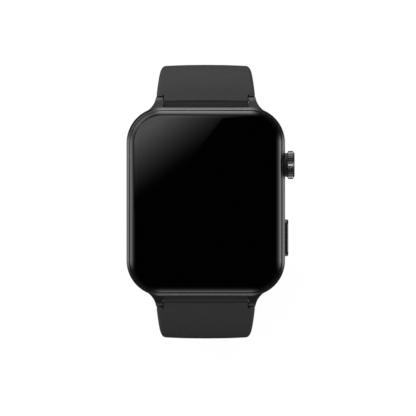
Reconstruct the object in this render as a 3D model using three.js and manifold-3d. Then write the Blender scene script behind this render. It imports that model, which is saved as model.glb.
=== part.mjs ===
// A square smartwatch with a silicone strap on quick-release spring bars, shown unbuckled and
// standing on the strap. X points to 3 o'clock, Y to 12 o'clock and Z out of the display. The
// origin is the middle of the sensor lens, on the face that lies on the wrist. Every size is in
// millimetres.
import * as THREE from "three";
import { mergeVertices } from "three/addons/utils/BufferGeometryUtils.js";
import Module from "manifold-3d";

// ---- Driving dimensions ----

const clearance = { seated: 0.05, running: 0.1, loose: 0.25 };

const frame = {
  width: 37.4,
  length: 44.5,
  cornerRadius: 8.4,
  bottomZ: 1.7,
  topZ: 9.0,
  lowerRound: { inward: 2.2, height: 3.1 },
  upperRound: { inward: 0.3, height: 1.6 },
  wall: 1.9,
  controlsZ: 5.6,
};
const glass = { edgeInset: 0.8, bottomZ: 8.4, sideTopZ: 9.1, topZ: 10.6, curveWidth: 1.5, ledgeWidth: 1.9 };
const glassLedge = { topZ: 8.2, thickness: 0.7 };
const display = { inset: 3.0, thickness: 1.35 };
const cover = { inset: 3.0, outerZ: 1.2, thickness: 1.4, edgeChamfer: 0.5, domeSlope: 1.4, domeZ: 0.35 };
const coverLedge = { bottomZ: 2.9, thickness: 1.0, width: 1.5 };
const lens = { radius: 10, thickness: 0.85, seatRim: 1.6, ledgeWidth: 1.6 };
const screw = {
  headRadius: 1.0, headHeight: 0.5, shankRadius: 0.5, shankLength: 1.9, bossRadius: 2.0,
  cornerInset: 6.8,
};
const chargeContact = { radius: 0.9, spacing: 4.0, height: 2.0, fromEdge: 6.0, proud: 0.1 };
const magnet = { radius: 1.5, height: 1.15, spacing: 12.5 };

const lug = {
  gap: 20.2, endThickness: 1.65, rootThickness: 4.3, endRadius: 1.95, topTangent: 62, bottomTangent: -95,
};
const bar = {
  beyondCase: 0.55, z: 3.4, tubeRadius: 0.75, tubeBore: 0.55, pinRadius: 0.47, tipRadius: 0.42,
  tipReach: 0.9,
};
const release = { travel: 1.0, knobRadius: 0.45, knobFromEnd: 2.6, knobProud: 0.15 };

const crown = {
  fromCorner: 5.19, radius: 3.33, thickness: 1.76, standOff: 0.5, collarRadius: 2.8, teeth: 32,
  toothDepth: 0.22, travel: 0.4,
};
const crownStem = { radius: 0.7, tubeRadius: 1.5, tubeBore: 1.15, recessDepth: 0.95, clipRadius: 1.35 };
const button = {
  fromCorner: 5.32, length: 8.7, width: 2.6, proud: 0.79, depth: 0.7, stemLength: 4.6, stemWidth: 1.2,
  travel: 0.3,
};

const strap = {
  heading: -35,
  straightRoot: 3,
  barrelRadius: 1.6,
  rootOuter: 2.0,
  rootInner: 1.35,
  halfThickness: 1.15,
  thinsOver: 14,
  width: 19.8,
  shoulderOverLug: 1.5,
  narrowsFrom: 3,
  narrowsTo: 21,
  crown: 0.3,
  crownedTo: 20,
  flatFrom: 32,
  edgeRound: 0.8,
  innerChamfer: 0.4,
  dropRadius: 14.3,
};
const shortHalf = { sweepRadius: 30, straightEnd: 12.5, endRadius: 1.35, slotWidth: 3.2, slotDepth: 3.2 };
const longHalf = { drop: 30, cornerRadius: 23, flat: 20.4, tailRadius: 80, tailTurn: 10, tipLength: 8 };
const hole = { radius: 1.15, pitch: 6.5, count: 8, fromTip: 14 };
const keeper = { width: 4.5, wall: 1.15, tailRoom: 2.8, mouldedFromEnd: 9.5, freeFromEnd: 21 };
const buckle = {
  wall: 1.55, thickness: 1.8, barRadius: 0.6, windowLength: 7.4, frontBar: 2.2, backReach: 1.4,
  notchDepth: 0.4,
};
const tang = { width: 2.4, thickness: 0.8, eyeRadius: 1.15, overhang: 0.4 };

// ---- Solid helpers ----

const wasm = await Module();
wasm.setup();

function toSolid(geometry) {
  const loose = geometry.index ? geometry.toNonIndexed() : geometry;
  const bare = new THREE.BufferGeometry().setAttribute("position", loose.getAttribute("position"));
  const merged = mergeVertices(bare, 1e-4);
  const triVerts = new Uint32Array(merged.index.array);
  return new wasm.Manifold(
    new wasm.Mesh({ numProp: 3, vertProperties: merged.attributes.position.array, triVerts }),
  );
}

function toGeometry(solid) {
  const { vertProperties, triVerts } = solid.getMesh();
  return new THREE.BufferGeometry()
    .setAttribute("position", new THREE.BufferAttribute(vertProperties, 3))
    .setIndex(new THREE.BufferAttribute(triVerts, 1));
}

const cut = (solid, ...tools) => tools.reduce((left, tool) => left.subtract(tool), solid);
const join = (solid, ...others) => others.reduce((sum, other) => sum.add(other), solid);

// A closed solid through a stack of convex rings with equal point counts. Rings run anticlockwise
// seen from the last one.
function loft(rings) {
  const count = rings[0].length;
  const indices = [];
  for (let r = 0; r < rings.length - 1; r++) {
    for (let i = 0; i < count; i++) {
      const here = r * count + i;
      const next = r * count + ((i + 1) % count);
      indices.push(here, next, next + count, here, next + count, here + count);
    }
  }
  const last = (rings.length - 1) * count;
  for (let i = 1; i < count - 1; i++) {
    indices.push(0, i + 1, i, last, last + i, last + i + 1);
  }
  const positions = new Float32Array(rings.flat().flatMap((p) => [p.x, p.y, p.z]));
  const shape = new THREE.BufferGeometry();
  shape.setAttribute("position", new THREE.BufferAttribute(positions, 3));
  shape.setIndex(indices);
  return toSolid(shape);
}

function roundedRectangle(width, length, radius, segments = 6) {
  const points = [];
  [[1, 1], [-1, 1], [-1, -1], [1, -1]].forEach(([sideX, sideY], quarter) => {
    for (let i = 0; i <= segments; i++) {
      const angle = ((quarter + i / segments) * Math.PI) / 2;
      const x = sideX * (width / 2 - radius) + radius * Math.cos(angle);
      const y = sideY * (length / 2 - radius) + radius * Math.sin(angle);
      points.push(new THREE.Vector2(x, y));
    }
  });
  return points;
}

// The case outline moved inwards by inset.
function caseOutline(inset) {
  const radius = Math.max(frame.cornerRadius - inset, 0.6);
  return roundedRectangle(frame.width - 2 * inset, frame.length - 2 * inset, radius);
}

const caseRing = (inset, z) => caseOutline(inset).map((p) => new THREE.Vector3(p.x, p.y, z));
const caseStack = (profile) => loft(profile.map(([inset, z]) => caseRing(inset, z)));
const casePlate = (inset, fromZ, toZ) => caseStack([[inset, fromZ], [inset, toZ]]);

function extrude(points, height) {
  return new THREE.ExtrudeGeometry(new THREE.Shape(points), { depth: height, bevelEnabled: false });
}

// An upright prism on a plan outline.
const prism = (points, fromZ, toZ) => toSolid(extrude(points, toZ - fromZ).translate(0, 0, fromZ));

// A prism whose outline is given in Y and Z, running along X.
function prismAlongX(outlineYZ, fromX, toX) {
  const turned = new THREE.Matrix4().makeBasis(
    new THREE.Vector3(0, 1, 0),
    new THREE.Vector3(0, 0, 1),
    new THREE.Vector3(1, 0, 0),
  );
  return toSolid(extrude(outlineYZ, toX - fromX).applyMatrix4(turned).translate(fromX, 0, 0));
}

function block(fromX, toX, fromY, toY, fromZ, toZ) {
  const box = new THREE.BoxGeometry(toX - fromX, toY - fromY, toZ - fromZ);
  return toSolid(box.translate((fromX + toX) / 2, (fromY + toY) / 2, (fromZ + toZ) / 2));
}

// A turned piece on the X axis from [x, radius] steps, moved to y and z.
function turnedX(steps, y, z, segments = 24) {
  const ends = [[steps[0][0], 0], ...steps, [steps[steps.length - 1][0], 0]];
  const profile = ends.map(([x, radius]) => new THREE.Vector2(radius, x));
  return toSolid(new THREE.LatheGeometry(profile, segments).rotateZ(-Math.PI / 2).translate(0, y, z));
}

const rodX = (radius, fromX, toX, y, z, segments) => turnedX(
  [[fromX, radius], [toX, radius]], y, z, segments,
);

// A turned piece on a vertical axis from [radius, z] steps.
function turnedZ(steps, x, y, segments = 24) {
  const ends = [[0, steps[0][1]], ...steps, [0, steps[steps.length - 1][1]]];
  const profile = ends.map(([radius, z]) => new THREE.Vector2(radius, z));
  return toSolid(new THREE.LatheGeometry(profile, segments).rotateX(Math.PI / 2).translate(x, y, 0));
}

const discZ = (radius, fromZ, toZ, x = 0, y = 0, segments = 24) => turnedZ(
  [[radius, fromZ], [radius, toZ]], x, y, segments,
);

// A pill-shaped block along X: length along Y, width along Z.
function pillX(length, width, fromX, toX, y, z, segments = 6) {
  const outline = roundedRectangle(length, width, width / 2 - 0.001, segments);
  outline.forEach((p) => p.add(new THREE.Vector2(y, z)));
  return prismAlongX(outline, fromX, toX);
}

// A quarter of an ellipse as [inset, z] steps. At 0 degrees it lies flat, at 90 it stands upright.
function quarterRound(inward, height, steps, insetAt, zAt) {
  return Array.from({ length: steps + 1 }, (_, i) => {
    const angle = ((i / steps) * Math.PI) / 2;
    return [insetAt(inward, angle), zAt(height, angle)];
  });
}

// ---- Places worked out from the dimensions ----

const sideX = frame.width / 2;
const straightEndY = frame.length / 2 - frame.cornerRadius;
const crownY = straightEndY - crown.fromCorner;
const buttonY = button.fromCorner - straightEndY;
const cavityX = sideX - frame.wall;
const barY = frame.length / 2 + bar.beyondCase;
const lugInnerX = lug.gap / 2;
const strapEndX = lugInnerX - clearance.loose;
const shoulderWidth = lug.gap + 2 * strap.shoulderOverLug;
const coverInnerZ = cover.outerZ + cover.thickness;
const ledgeTopZ = coverLedge.bottomZ + coverLedge.thickness;
const coverRebateInset = cover.inset - clearance.running;
const ledgeInset = coverRebateInset + coverLedge.width;
const glassRebateInset = glass.edgeInset - clearance.running;
const glassOpeningInset = glassRebateInset + glass.ledgeWidth + clearance.running;
const displayBottomZ = glass.bottomZ - clearance.seated - display.thickness;
const boardZ = { bottom: ledgeTopZ + clearance.seated, thickness: 0.8 };
const boardTopZ = boardZ.bottom + boardZ.thickness;
const chassisZ = { top: displayBottomZ - clearance.running, thickness: 0.4 };
const chassisBottomZ = chassisZ.top - chassisZ.thickness;
const fourCorners = [[1, 1], [-1, 1], [-1, -1], [1, -1]];
const screwX = sideX - screw.cornerInset;
const screwY = frame.length / 2 - screw.cornerInset;
const contactY = frame.length / 2 - chargeContact.fromEdge;
const windowRadius = lens.radius - lens.ledgeWidth;

// ---- Case ----

function lugPair() {
  const side = [];
  const alongTop = new THREE.Vector2(
    -Math.sin(THREE.MathUtils.degToRad(lug.topTangent)),
    Math.cos(THREE.MathUtils.degToRad(lug.topTangent)),
  );
  const arcSteps = 10;
  for (let i = 0; i <= arcSteps; i++) {
    const degrees = lug.bottomTangent + ((lug.topTangent - lug.bottomTangent) * i) / arcSteps;
    const angle = THREE.MathUtils.degToRad(degrees);
    side.push(
      new THREE.Vector2(barY + lug.endRadius * Math.cos(angle), bar.z + lug.endRadius * Math.sin(angle)),
    );
  }
  const intoCase = frame.wall + bar.beyondCase + 1.5;
  side.push(side[side.length - 1].clone().addScaledVector(alongTop, intoCase / -alongTop.x));
  side.push(new THREE.Vector2(barY - intoCase, frame.bottomZ));

  const endX = lugInnerX + lug.endThickness;
  const rootX = lugInnerX + lug.rootThickness;
  const endY = barY + lug.endRadius;
  const rootY = frame.length / 2 - 1.05;
  const plan = new THREE.Shape();
  plan.moveTo(lugInnerX, barY - intoCase - 1);
  plan.lineTo(rootX, barY - intoCase - 1);
  plan.lineTo(rootX, rootY);
  plan.quadraticCurveTo(endX + 0.55, frame.length / 2 + 0.15, endX, endY);
  plan.lineTo(endX, endY + 1);
  plan.lineTo(lugInnerX, endY + 1);
  const right = prismAlongX(side, lugInnerX, rootX).intersect(prism(plan.getPoints(5), 0, frame.topZ));
  return join(right, right.mirror([1, 0, 0]));
}

function caseFrame() {
  const lower = frame.lowerRound;
  const upper = frame.upperRound;
  const outer = caseStack([
    ...quarterRound(
      lower.inward, lower.height, 5, (w, a) => w * (1 - Math.sin(a)),
      (h, a) => frame.bottomZ + h * (1 - Math.cos(a)),
    ),
    ...quarterRound(
      upper.inward, upper.height, 3, (w, a) => w * (1 - Math.cos(a)),
      (h, a) => frame.topZ - h * (1 - Math.sin(a)),
    ),
  ]);
  const lugs = lugPair();
  const boss = (x, y) => discZ(screw.bossRadius, coverLedge.bottomZ, ledgeTopZ, x, y);
  const boltHole = (x, y) => discZ(
    screw.shankRadius + clearance.seated, coverLedge.bottomZ - 1, ledgeTopZ + 1, x, y, 16,
  );
  const ledgeOpening = cut(
    casePlate(ledgeInset, frame.bottomZ - 1, ledgeTopZ + 1),
    ...fourCorners.map(([sx, sy]) => boss(sx * screwX, sy * screwY)),
  );
  const pocketRadius = lug.endRadius;
  const pocket = rodX(pocketRadius, -lugInnerX, lugInnerX, barY, bar.z, 32);
  const holeDepth = bar.tipReach + clearance.loose;
  const pinHole = rodX(
    bar.tipRadius + 0.08, -lugInnerX - holeDepth, lugInnerX + holeDepth, barY, bar.z, 16,
  );
  const halfTurn = (solid) => solid.rotate([0, 0, 180]);
  const crownHole = rodX(
    crownStem.tubeRadius + clearance.seated, cavityX - 1, sideX + 1, crownY, frame.controlsZ,
  );
  const crownRecess = rodX(
    crown.collarRadius + 0.2, sideX - crownStem.recessDepth, sideX + 1, crownY, frame.controlsZ, 32,
  );
  const buttonPocketX = sideX - button.depth - button.travel - clearance.loose;
  const room = 2 * clearance.running;
  const buttonPocket = pillX(
    button.length + room, button.width + room, buttonPocketX, sideX + 1, buttonY, frame.controlsZ,
  );
  const buttonSlot = pillX(
    button.stemLength + 0.8, button.stemWidth + 0.8, cavityX - 1, sideX, buttonY, frame.controlsZ,
  );
  return cut(
    join(outer, lugs, halfTurn(lugs)),
    casePlate(coverRebateInset, frame.bottomZ - 1, coverLedge.bottomZ),
    ledgeOpening,
    casePlate(frame.wall, ledgeTopZ, glassLedge.topZ - glassLedge.thickness),
    casePlate(glassOpeningInset, ledgeTopZ, frame.topZ + 1),
    casePlate(glassRebateInset, glassLedge.topZ, frame.topZ + 1),
    ...fourCorners.map(([sx, sy]) => boltHole(sx * screwX, sy * screwY)),
    pocket,
    halfTurn(pocket),
    pinHole,
    halfTurn(pinHole),
    crownHole,
    crownRecess,
    buttonPocket,
    buttonSlot,
  );
}

function coverGlass() {
  const height = glass.topZ - glass.sideTopZ;
  return caseStack([
    [glass.edgeInset, glass.bottomZ],
    ...quarterRound(
      glass.curveWidth, height, 5, (w, a) => glass.edgeInset + w * (1 - Math.cos(a)),
      (h, a) => glass.sideTopZ + h * Math.sin(a),
    ),
  ]);
}

function glassAdhesive() {
  const fromZ = glassLedge.topZ + 0.02;
  const toZ = glass.bottomZ - 0.02;
  return cut(
    casePlate(glass.edgeInset + 0.1, fromZ, toZ), casePlate(glassOpeningInset - 0.1, fromZ - 1, toZ + 1),
  );
}

function backCover() {
  const chamferInset = cover.inset + cover.edgeChamfer;
  const plate = caseStack([
    [chamferInset, cover.outerZ],
    [cover.inset, cover.outerZ + cover.edgeChamfer],
    [cover.inset, coverInnerZ],
  ]);
  const domeTopRadius = lens.radius + lens.seatRim;
  const dome = turnedZ(
    [[domeTopRadius, cover.domeZ], [domeTopRadius + cover.domeSlope, cover.outerZ + 0.1]], 0, 0, 40,
  );
  const lensSeat = discZ(lens.radius + clearance.running, -1, lens.thickness + clearance.seated, 0, 0, 40);
  const window = discZ(windowRadius, -1, coverInnerZ + 1, 0, 0, 32);
  const contactHoles = [-1, 1].map((side) =>
    discZ(
      chargeContact.radius + clearance.seated, 0, coverInnerZ + 1, (side * chargeContact.spacing) / 2,
      contactY,
    ),
  );
  const screwHoles = fourCorners.map(([sx, sy]) =>
    turnedZ(
      [
        [screw.headRadius + clearance.running, cover.outerZ - 1],
        [screw.headRadius + clearance.running, cover.outerZ + 0.6],
        [screw.shankRadius + clearance.running, cover.outerZ + 0.6],
        [screw.shankRadius + clearance.running, coverInnerZ + 1],
      ],
      sx * screwX,
      sy * screwY,
    ),
  );
  return cut(join(plate, dome), lensSeat, window, ...contactHoles, ...screwHoles);
}

function backSeal() {
  const fromZ = coverInnerZ + 0.03;
  const toZ = coverLedge.bottomZ - 0.03;
  return cut(casePlate(cover.inset + 0.1, fromZ, toZ), casePlate(cover.inset + 0.8, fromZ - 1, toZ + 1));
}

function backScrew(x, y) {
  const headZ = cover.outerZ + 0.6 - clearance.seated;
  return turnedZ(
    [
      [screw.headRadius, headZ - screw.headHeight],
      [screw.headRadius, headZ],
      [screw.shankRadius, headZ],
      [screw.shankRadius, headZ + screw.shankLength],
    ],
    x,
    y,
    20,
  );
}

// ---- What the case holds ----

const displayPanel = () => casePlate(display.inset, displayBottomZ, glass.bottomZ - clearance.seated);

const ribbon = { width: 8, thickness: 0.15, lead: 4, fromDisplayEdge: 1.2 };
const ribbonUpperZ = displayBottomZ - 0.02;
const ribbonLowerZ = boardTopZ + 0.02;
const ribbonRadius = (ribbonUpperZ - ribbonLowerZ) / 2;
const ribbonBendY = frame.length / 2 - display.inset - ribbonRadius - ribbon.fromDisplayEdge;

// A ribbon that leaves the back of the display, turns over and lands on the main board.
function displayFlex() {
  const upperZ = ribbonUpperZ;
  const lowerZ = ribbonLowerZ;
  const outerRadius = ribbonRadius;
  const middleZ = (upperZ + lowerZ) / 2;
  const bendY = ribbonBendY;
  const halfCircle = (radius, from, to) =>
    Array.from({ length: 9 }, (_, i) => {
      const angle = from + ((to - from) * i) / 8;
      return new THREE.Vector2(bendY + radius * Math.cos(angle), middleZ + radius * Math.sin(angle));
    });
  const outline = [
    new THREE.Vector2(bendY - ribbon.lead, lowerZ),
    ...halfCircle(outerRadius, -Math.PI / 2, Math.PI / 2),
    new THREE.Vector2(bendY - ribbon.lead, upperZ),
    new THREE.Vector2(bendY - ribbon.lead, upperZ - ribbon.thickness),
    ...halfCircle(outerRadius - ribbon.thickness, Math.PI / 2, -Math.PI / 2),
    new THREE.Vector2(bendY - ribbon.lead, lowerZ + ribbon.thickness),
  ];
  return prismAlongX(outline, -ribbon.width / 2, ribbon.width / 2);
}

const boardGap = 0.35; // between the board and the case wall
const boardStripX = 8.6; // left edge of the strip that carries the side button's switch
const boardSplitY = -1;
const boardInset = frame.wall + boardGap;

// Room round the crown's tube and clip, which reach into the cavity.
const crownNotch = () => block(cavityX - 1.5, sideX, crownY - 2, crownY + 2, 0, frame.topZ);

function mainBoard() {
  return cut(
    casePlate(boardInset, boardZ.bottom, boardTopZ),
    crownNotch(),
    block(-sideX, boardStripX, -frame.length, boardSplitY, 0, frame.topZ),
    block(-sideX, sideX, -frame.length, buttonY - button.length / 2 - 1, 0, frame.topZ),
  );
}

const onBoardZ = boardTopZ + clearance.seated;
const underChassisZ = chassisBottomZ - clearance.running;
const motorRadius = 4;
const partsEndY = ribbonBendY - ribbon.lead - 0.95;
const shieldCan = () => block(-4, 8, boardSplitY + 2, partsEndY, onBoardZ, underChassisZ);
const vibrationMotor = () => discZ(motorRadius, onBoardZ, underChassisZ, -9.5, partsEndY - motorRadius);

function battery() {
  const fromX = -(sideX - ledgeInset - clearance.loose);
  const toX = boardStripX - clearance.loose;
  const fromY = -(frame.length / 2 - ledgeInset - clearance.loose);
  const toY = boardSplitY - clearance.loose;
  const outline = roundedRectangle(toX - fromX, toY - fromY, 1.2, 4);
  outline.forEach((p) => p.add(new THREE.Vector2((fromX + toX) / 2, (fromY + toY) / 2)));
  const pouch = prism(outline, coverInnerZ + clearance.loose, chassisBottomZ - clearance.running);
  const clearOfBossX = -(screwX - screw.bossRadius - clearance.loose);
  const clearOfBossY = -(screwY - screw.bossRadius - clearance.loose);
  return cut(pouch, block(-sideX, clearOfBossX, -frame.length, clearOfBossY, 0, frame.topZ));
}

// The plastic plate that carries the display, with a window over the board to save weight.
function innerChassis() {
  const endY = frame.length / 2 - display.inset - 6.5;
  return cut(
    casePlate(frame.wall + clearance.running, chassisBottomZ, chassisZ.top),
    crownNotch(),
    block(-sideX, sideX, endY, frame.length, 0, frame.topZ),
    block(-7, 7, 1, endY - 3, 0, frame.topZ),
  );
}

const sensorBoard = () => discZ(windowRadius - 0.3, 1.5, 2.1, 0, 0, 32);

function sensorChip(x, y, width, length) {
  return block(x - width / 2, x + width / 2, y - length / 2, y + length / 2, lens.thickness + 0.1, 1.45);
}

function chargeContactPin(side) {
  const fromZ = cover.outerZ - chargeContact.proud;
  return discZ(
    chargeContact.radius, fromZ, fromZ + chargeContact.height, (side * chargeContact.spacing) / 2,
    contactY,
  );
}

function chargeMagnet(side) {
  const fromZ = coverInnerZ + clearance.seated;
  const y = frame.length / 2 - ledgeInset - magnet.radius - clearance.loose;
  return discZ(magnet.radius, fromZ, fromZ + magnet.height, (side * magnet.spacing) / 2, y);
}

// ---- Crown and side button ----

const switchBody = { fromX: cavityX - 3.6, toX: cavityX - 2.2, length: 3.2, height: 1.7 };
const plunger = { radius: 0.5, fromX: switchBody.toX - 0.35, toX: cavityX - 1.65 };
const stemEndX = plunger.toX + clearance.seated;

function tactSwitch(y) {
  const { fromX, toX, length, height } = switchBody;
  const fromZ = boardTopZ + 0.02;
  const bodyBlock = block(
    fromX, toX, y - length / 2, y + length / 2, fromZ, Math.min(fromZ + height, chassisBottomZ - 0.02),
  );
  return cut(bodyBlock, rodX(plunger.radius + 0.1, fromX + 0.5, toX + 1, y, frame.controlsZ, 16));
}

const switchPlunger = (y) => rodX(plunger.radius, plunger.fromX, plunger.toX, y, frame.controlsZ, 16);

function crownTube() {
  const fromX = cavityX - 0.5;
  const toX = sideX - crownStem.recessDepth + 0.35;
  const bore = rodX(crownStem.tubeBore, fromX - 1, toX + 1, crownY, frame.controlsZ);
  return cut(rodX(crownStem.tubeRadius, fromX, toX, crownY, frame.controlsZ), bore);
}

const crownInnerX = sideX + crown.standOff;
const crownOuterX = crownInnerX + crown.thickness;

// The knob has a ring of grip teeth, a collar that enters the case and a hollow that clears the tube.
function crownKnob() {
  const outline = Array.from({ length: crown.teeth * 2 }, (_, i) => {
    const angle = (i * Math.PI) / crown.teeth;
    const radius = crown.radius - (i % 2 ? crown.toothDepth : 0);
    return new THREE.Vector2(radius * Math.cos(angle) + crownY, radius * Math.sin(angle) + frame.controlsZ);
  });
  const collarX = sideX - crownStem.recessDepth + crown.travel + 0.2;
  const collar = rodX(crown.collarRadius, collarX, crownInnerX + 0.1, crownY, frame.controlsZ, 32);
  const hollow = rodX(crownStem.tubeRadius + 0.4, collarX - 1, crownInnerX + 0.2, crownY, frame.controlsZ);
  const socket = rodX(
    crownStem.radius + clearance.seated, collarX - 1, crownOuterX - 0.6, crownY, frame.controlsZ,
  );
  return cut(join(prismAlongX(outline, crownInnerX, crownOuterX), collar), hollow, socket);
}

const crownStemRod = () => rodX(crownStem.radius, stemEndX, crownOuterX - 0.65, crownY, frame.controlsZ);

function crownSeal() {
  const cordRadius = (crownStem.tubeBore - crownStem.radius) / 2 - 0.03;
  const ring = new THREE.TorusGeometry((crownStem.tubeBore + crownStem.radius) / 2, cordRadius, 8, 24);
  return toSolid(ring.rotateY(Math.PI / 2).translate(cavityX + 0.7, crownY, frame.controlsZ));
}

// An E-clip on the stem that stops the crown coming out.
function crownClip() {
  const toX = cavityX - 0.5 - clearance.seated;
  const fromX = toX - 0.25;
  const inner = crownStem.radius + 0.03;
  const mouth = block(
    fromX - 1, toX + 1, crownY - inner * 0.8, crownY + inner * 0.8, frame.controlsZ - 3, frame.controlsZ,
  );
  return cut(
    rodX(crownStem.clipRadius, fromX, toX, crownY, frame.controlsZ),
    rodX(inner, fromX - 1, toX + 1, crownY, frame.controlsZ), mouth,
  );
}

function sideButton() {
  const capX = sideX - button.depth;
  const cap = pillX(button.length, button.width, capX, sideX + button.proud, buttonY, frame.controlsZ);
  const stem = pillX(button.stemLength, button.stemWidth, stemEndX, capX + 0.1, buttonY, frame.controlsZ);
  return join(cap, stem);
}

function buttonSeal() {
  const fromX = cavityX + 0.15;
  const toX = fromX + 0.4;
  const outer = pillX(
    button.stemLength + 0.7, button.stemWidth + 0.7, fromX, toX, buttonY, frame.controlsZ,
  );
  return cut(
    outer,
    pillX(button.stemLength + 0.08, button.stemWidth + 0.08, fromX - 1, toX + 1, buttonY, frame.controlsZ),
  );
}

function buttonClip() {
  const toX = cavityX - clearance.seated;
  const fromX = toX - 0.25;
  const plate = block(
    fromX, toX, buttonY - 3.4, buttonY + 3.4, frame.controlsZ - 0.8, frame.controlsZ + 0.75,
  );
  return cut(
    plate,
    pillX(button.stemLength + 0.06, button.stemWidth + 0.06, fromX - 1, toX + 1, buttonY, frame.controlsZ),
  );
}

// ---- Strap. It is drawn for the 12 o'clock side; the long half is turned half round. ----

// A path in the YZ plane made of straight legs { length } and arcs { radius, turn }, the turn in
// degrees.
function strapPath(legs) {
  const corners = [{ s: 0, y: barY, z: bar.z, heading: THREE.MathUtils.degToRad(strap.heading), bend: 0 }];
  const step = (from, distance, bend) => {
    const heading = from.heading + bend * distance;
    const y = bend
      ? from.y + (Math.sin(heading) - Math.sin(from.heading)) / bend
      : from.y + distance * Math.cos(heading);
    const z = bend
      ? from.z - (Math.cos(heading) - Math.cos(from.heading)) / bend
      : from.z + distance * Math.sin(heading);
    return { s: from.s + distance, y, z, heading };
  };
  for (const leg of legs) {
    const from = corners[corners.length - 1];
    const turn = THREE.MathUtils.degToRad(leg.turn ?? 0);
    const distance = leg.length ?? leg.radius * Math.abs(turn);
    from.bend = leg.radius ? Math.sign(turn) / leg.radius : 0;
    corners.push({ ...step(from, distance, from.bend), bend: 0 });
  }
  const length = corners[corners.length - 1].s;
  const at = (s) => {
    const from = corners.findLast((corner) => corner.s <= Math.max(s, 0) + 1e-9);
    return step(from, s - from.s, from.bend);
  };
  // Stations close enough for a turn of 8 degrees, with the ends of every leg kept.
  const stations = corners.slice(1).flatMap((corner, i) => {
    const from = corners[i];
    const pieces = from.bend
      ? Math.ceil(Math.abs(corner.heading - from.heading) / THREE.MathUtils.degToRad(8))
      : 2;
    return Array.from({ length: pieces }, (_, k) => from.s + ((corner.s - from.s) * k) / pieces);
  });
  return { length, at, stations: [...stations, length] };
}

// A point at x across the strap and offset outwards from the path.
function onStrap(path, s, x, offset) {
  const { y, z, heading } = path.at(s);
  return new THREE.Vector3(x, y - offset * Math.sin(heading), z + offset * Math.cos(heading));
}

const ease = (s, from, to) => THREE.MathUtils.clamp((s - from) / (to - from), 0, 1);

function strapWidth(s) {
  return THREE.MathUtils.lerp(shoulderWidth, strap.width, ease(s, strap.narrowsFrom, strap.narrowsTo));
}

// The strap's section at s: an outer face that is crowned near the case and flat further on, over
// a flat inner face.
function strapRing(path, s, width) {
  const thin = ease(s, strap.straightRoot, strap.thinsOver);
  const outer = THREE.MathUtils.lerp(strap.rootOuter, strap.halfThickness, thin);
  const inner = -THREE.MathUtils.lerp(strap.rootInner, strap.halfThickness, thin);
  const half = width / 2;
  const round = Math.min(strap.edgeRound, half / 3);
  const crown = strap.crown * (1 - ease(s, strap.crownedTo, strap.flatFrom));
  const crowned = (x) => outer - crown * (x / half) ** 2;
  const edge = crowned(half);
  const right = [
    [half / 2, crowned(half / 2)],
    [half - round, crowned(half - round)],
    [half - 0.3 * round, edge - 0.3 * round],
    [half, edge - round],
    [half, inner + strap.innerChamfer],
    [half - strap.innerChamfer, inner],
  ];
  const left = right.map(([x, offset]) => [-x, offset]).reverse();
  return [...left, [0, outer], ...right].map(([x, offset]) => onStrap(path, s, x, offset));
}

// Cuts and adds what every strap half has at the case: a barrel on the spring bar, shoulders that
// clear the lug ends, a groove behind the barrel, the bar's bore and the slot of the release knob.
function strapRoot(body) {
  const barrel = rodX(strap.barrelRadius, -strapEndX, strapEndX, barY, bar.z, 32);
  const lugRoom = rodX(lug.endRadius + clearance.loose, strapEndX, shoulderWidth, barY, bar.z, 40);
  const grooveAngle = THREE.MathUtils.degToRad(67);
  const groove = rodX(
    0.5,
    -shoulderWidth,
    shoulderWidth,
    barY + 1.73 * Math.cos(grooveAngle),
    bar.z + 1.73 * Math.sin(grooveAngle),
    16,
  );
  const bore = rodX(bar.tubeRadius + clearance.running, -shoulderWidth, shoulderWidth, barY, bar.z, 20);
  return cut(join(body, barrel), lugRoom, lugRoom.mirror([1, 0, 0]), groove, bore, releaseSlot());
}

const knobX = strapEndX - release.knobFromEnd;
const knobDrop = strap.rootInner + release.knobProud;

// A slot from the bar to the strap's inner face, long enough for the knob's travel.
function releaseSlot() {
  const room = release.knobRadius + clearance.loose;
  const slot = new THREE.BoxGeometry(2 * room + release.travel, 2 * room, 3);
  const heading = THREE.MathUtils.degToRad(strap.heading);
  return toSolid(
    slot.translate(knobX - release.travel / 2, 0, -1.5).rotateX(heading).translate(0, barY, bar.z),
  );
}

const shortPath = strapPath([
  { length: strap.straightRoot },
  { radius: strap.dropRadius, turn: -90 - strap.heading },
  { radius: shortHalf.sweepRadius, turn: -90 },
  { length: shortHalf.straightEnd },
]);
const longPath = strapPath([
  { length: strap.straightRoot },
  { radius: strap.dropRadius, turn: -90 - strap.heading },
  { length: longHalf.drop },
  { radius: longHalf.cornerRadius, turn: -90 },
  { length: longHalf.flat },
  { radius: longHalf.tailRadius, turn: -longHalf.tailTurn },
]);

// A keeper's section: a loop round the strap, closed or open towards it, with room for the tail
// outside the strap.
function keeperLoop(innerOffset, roomFrom) {
  const halfRoom = strap.width / 2 + clearance.loose;
  const roomTo = strap.halfThickness + keeper.tailRoom;
  const halfOuter = halfRoom + keeper.wall;
  const loop = block(
    -halfOuter, halfOuter, -keeper.width / 2, keeper.width / 2, innerOffset, roomTo + keeper.wall,
  );
  return cut(loop, block(-halfRoom, halfRoom, -keeper.width, keeper.width, roomFrom, roomTo));
}

// Moves a solid drawn at the origin, with Y along the strap and Z outwards, to its place on a path.
function placeOnPath(solid, path, s) {
  const { y, z, heading } = path.at(s);
  return solid.rotate([THREE.MathUtils.radToDeg(heading), 0, 0]).translate([0, y, z]);
}

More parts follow.
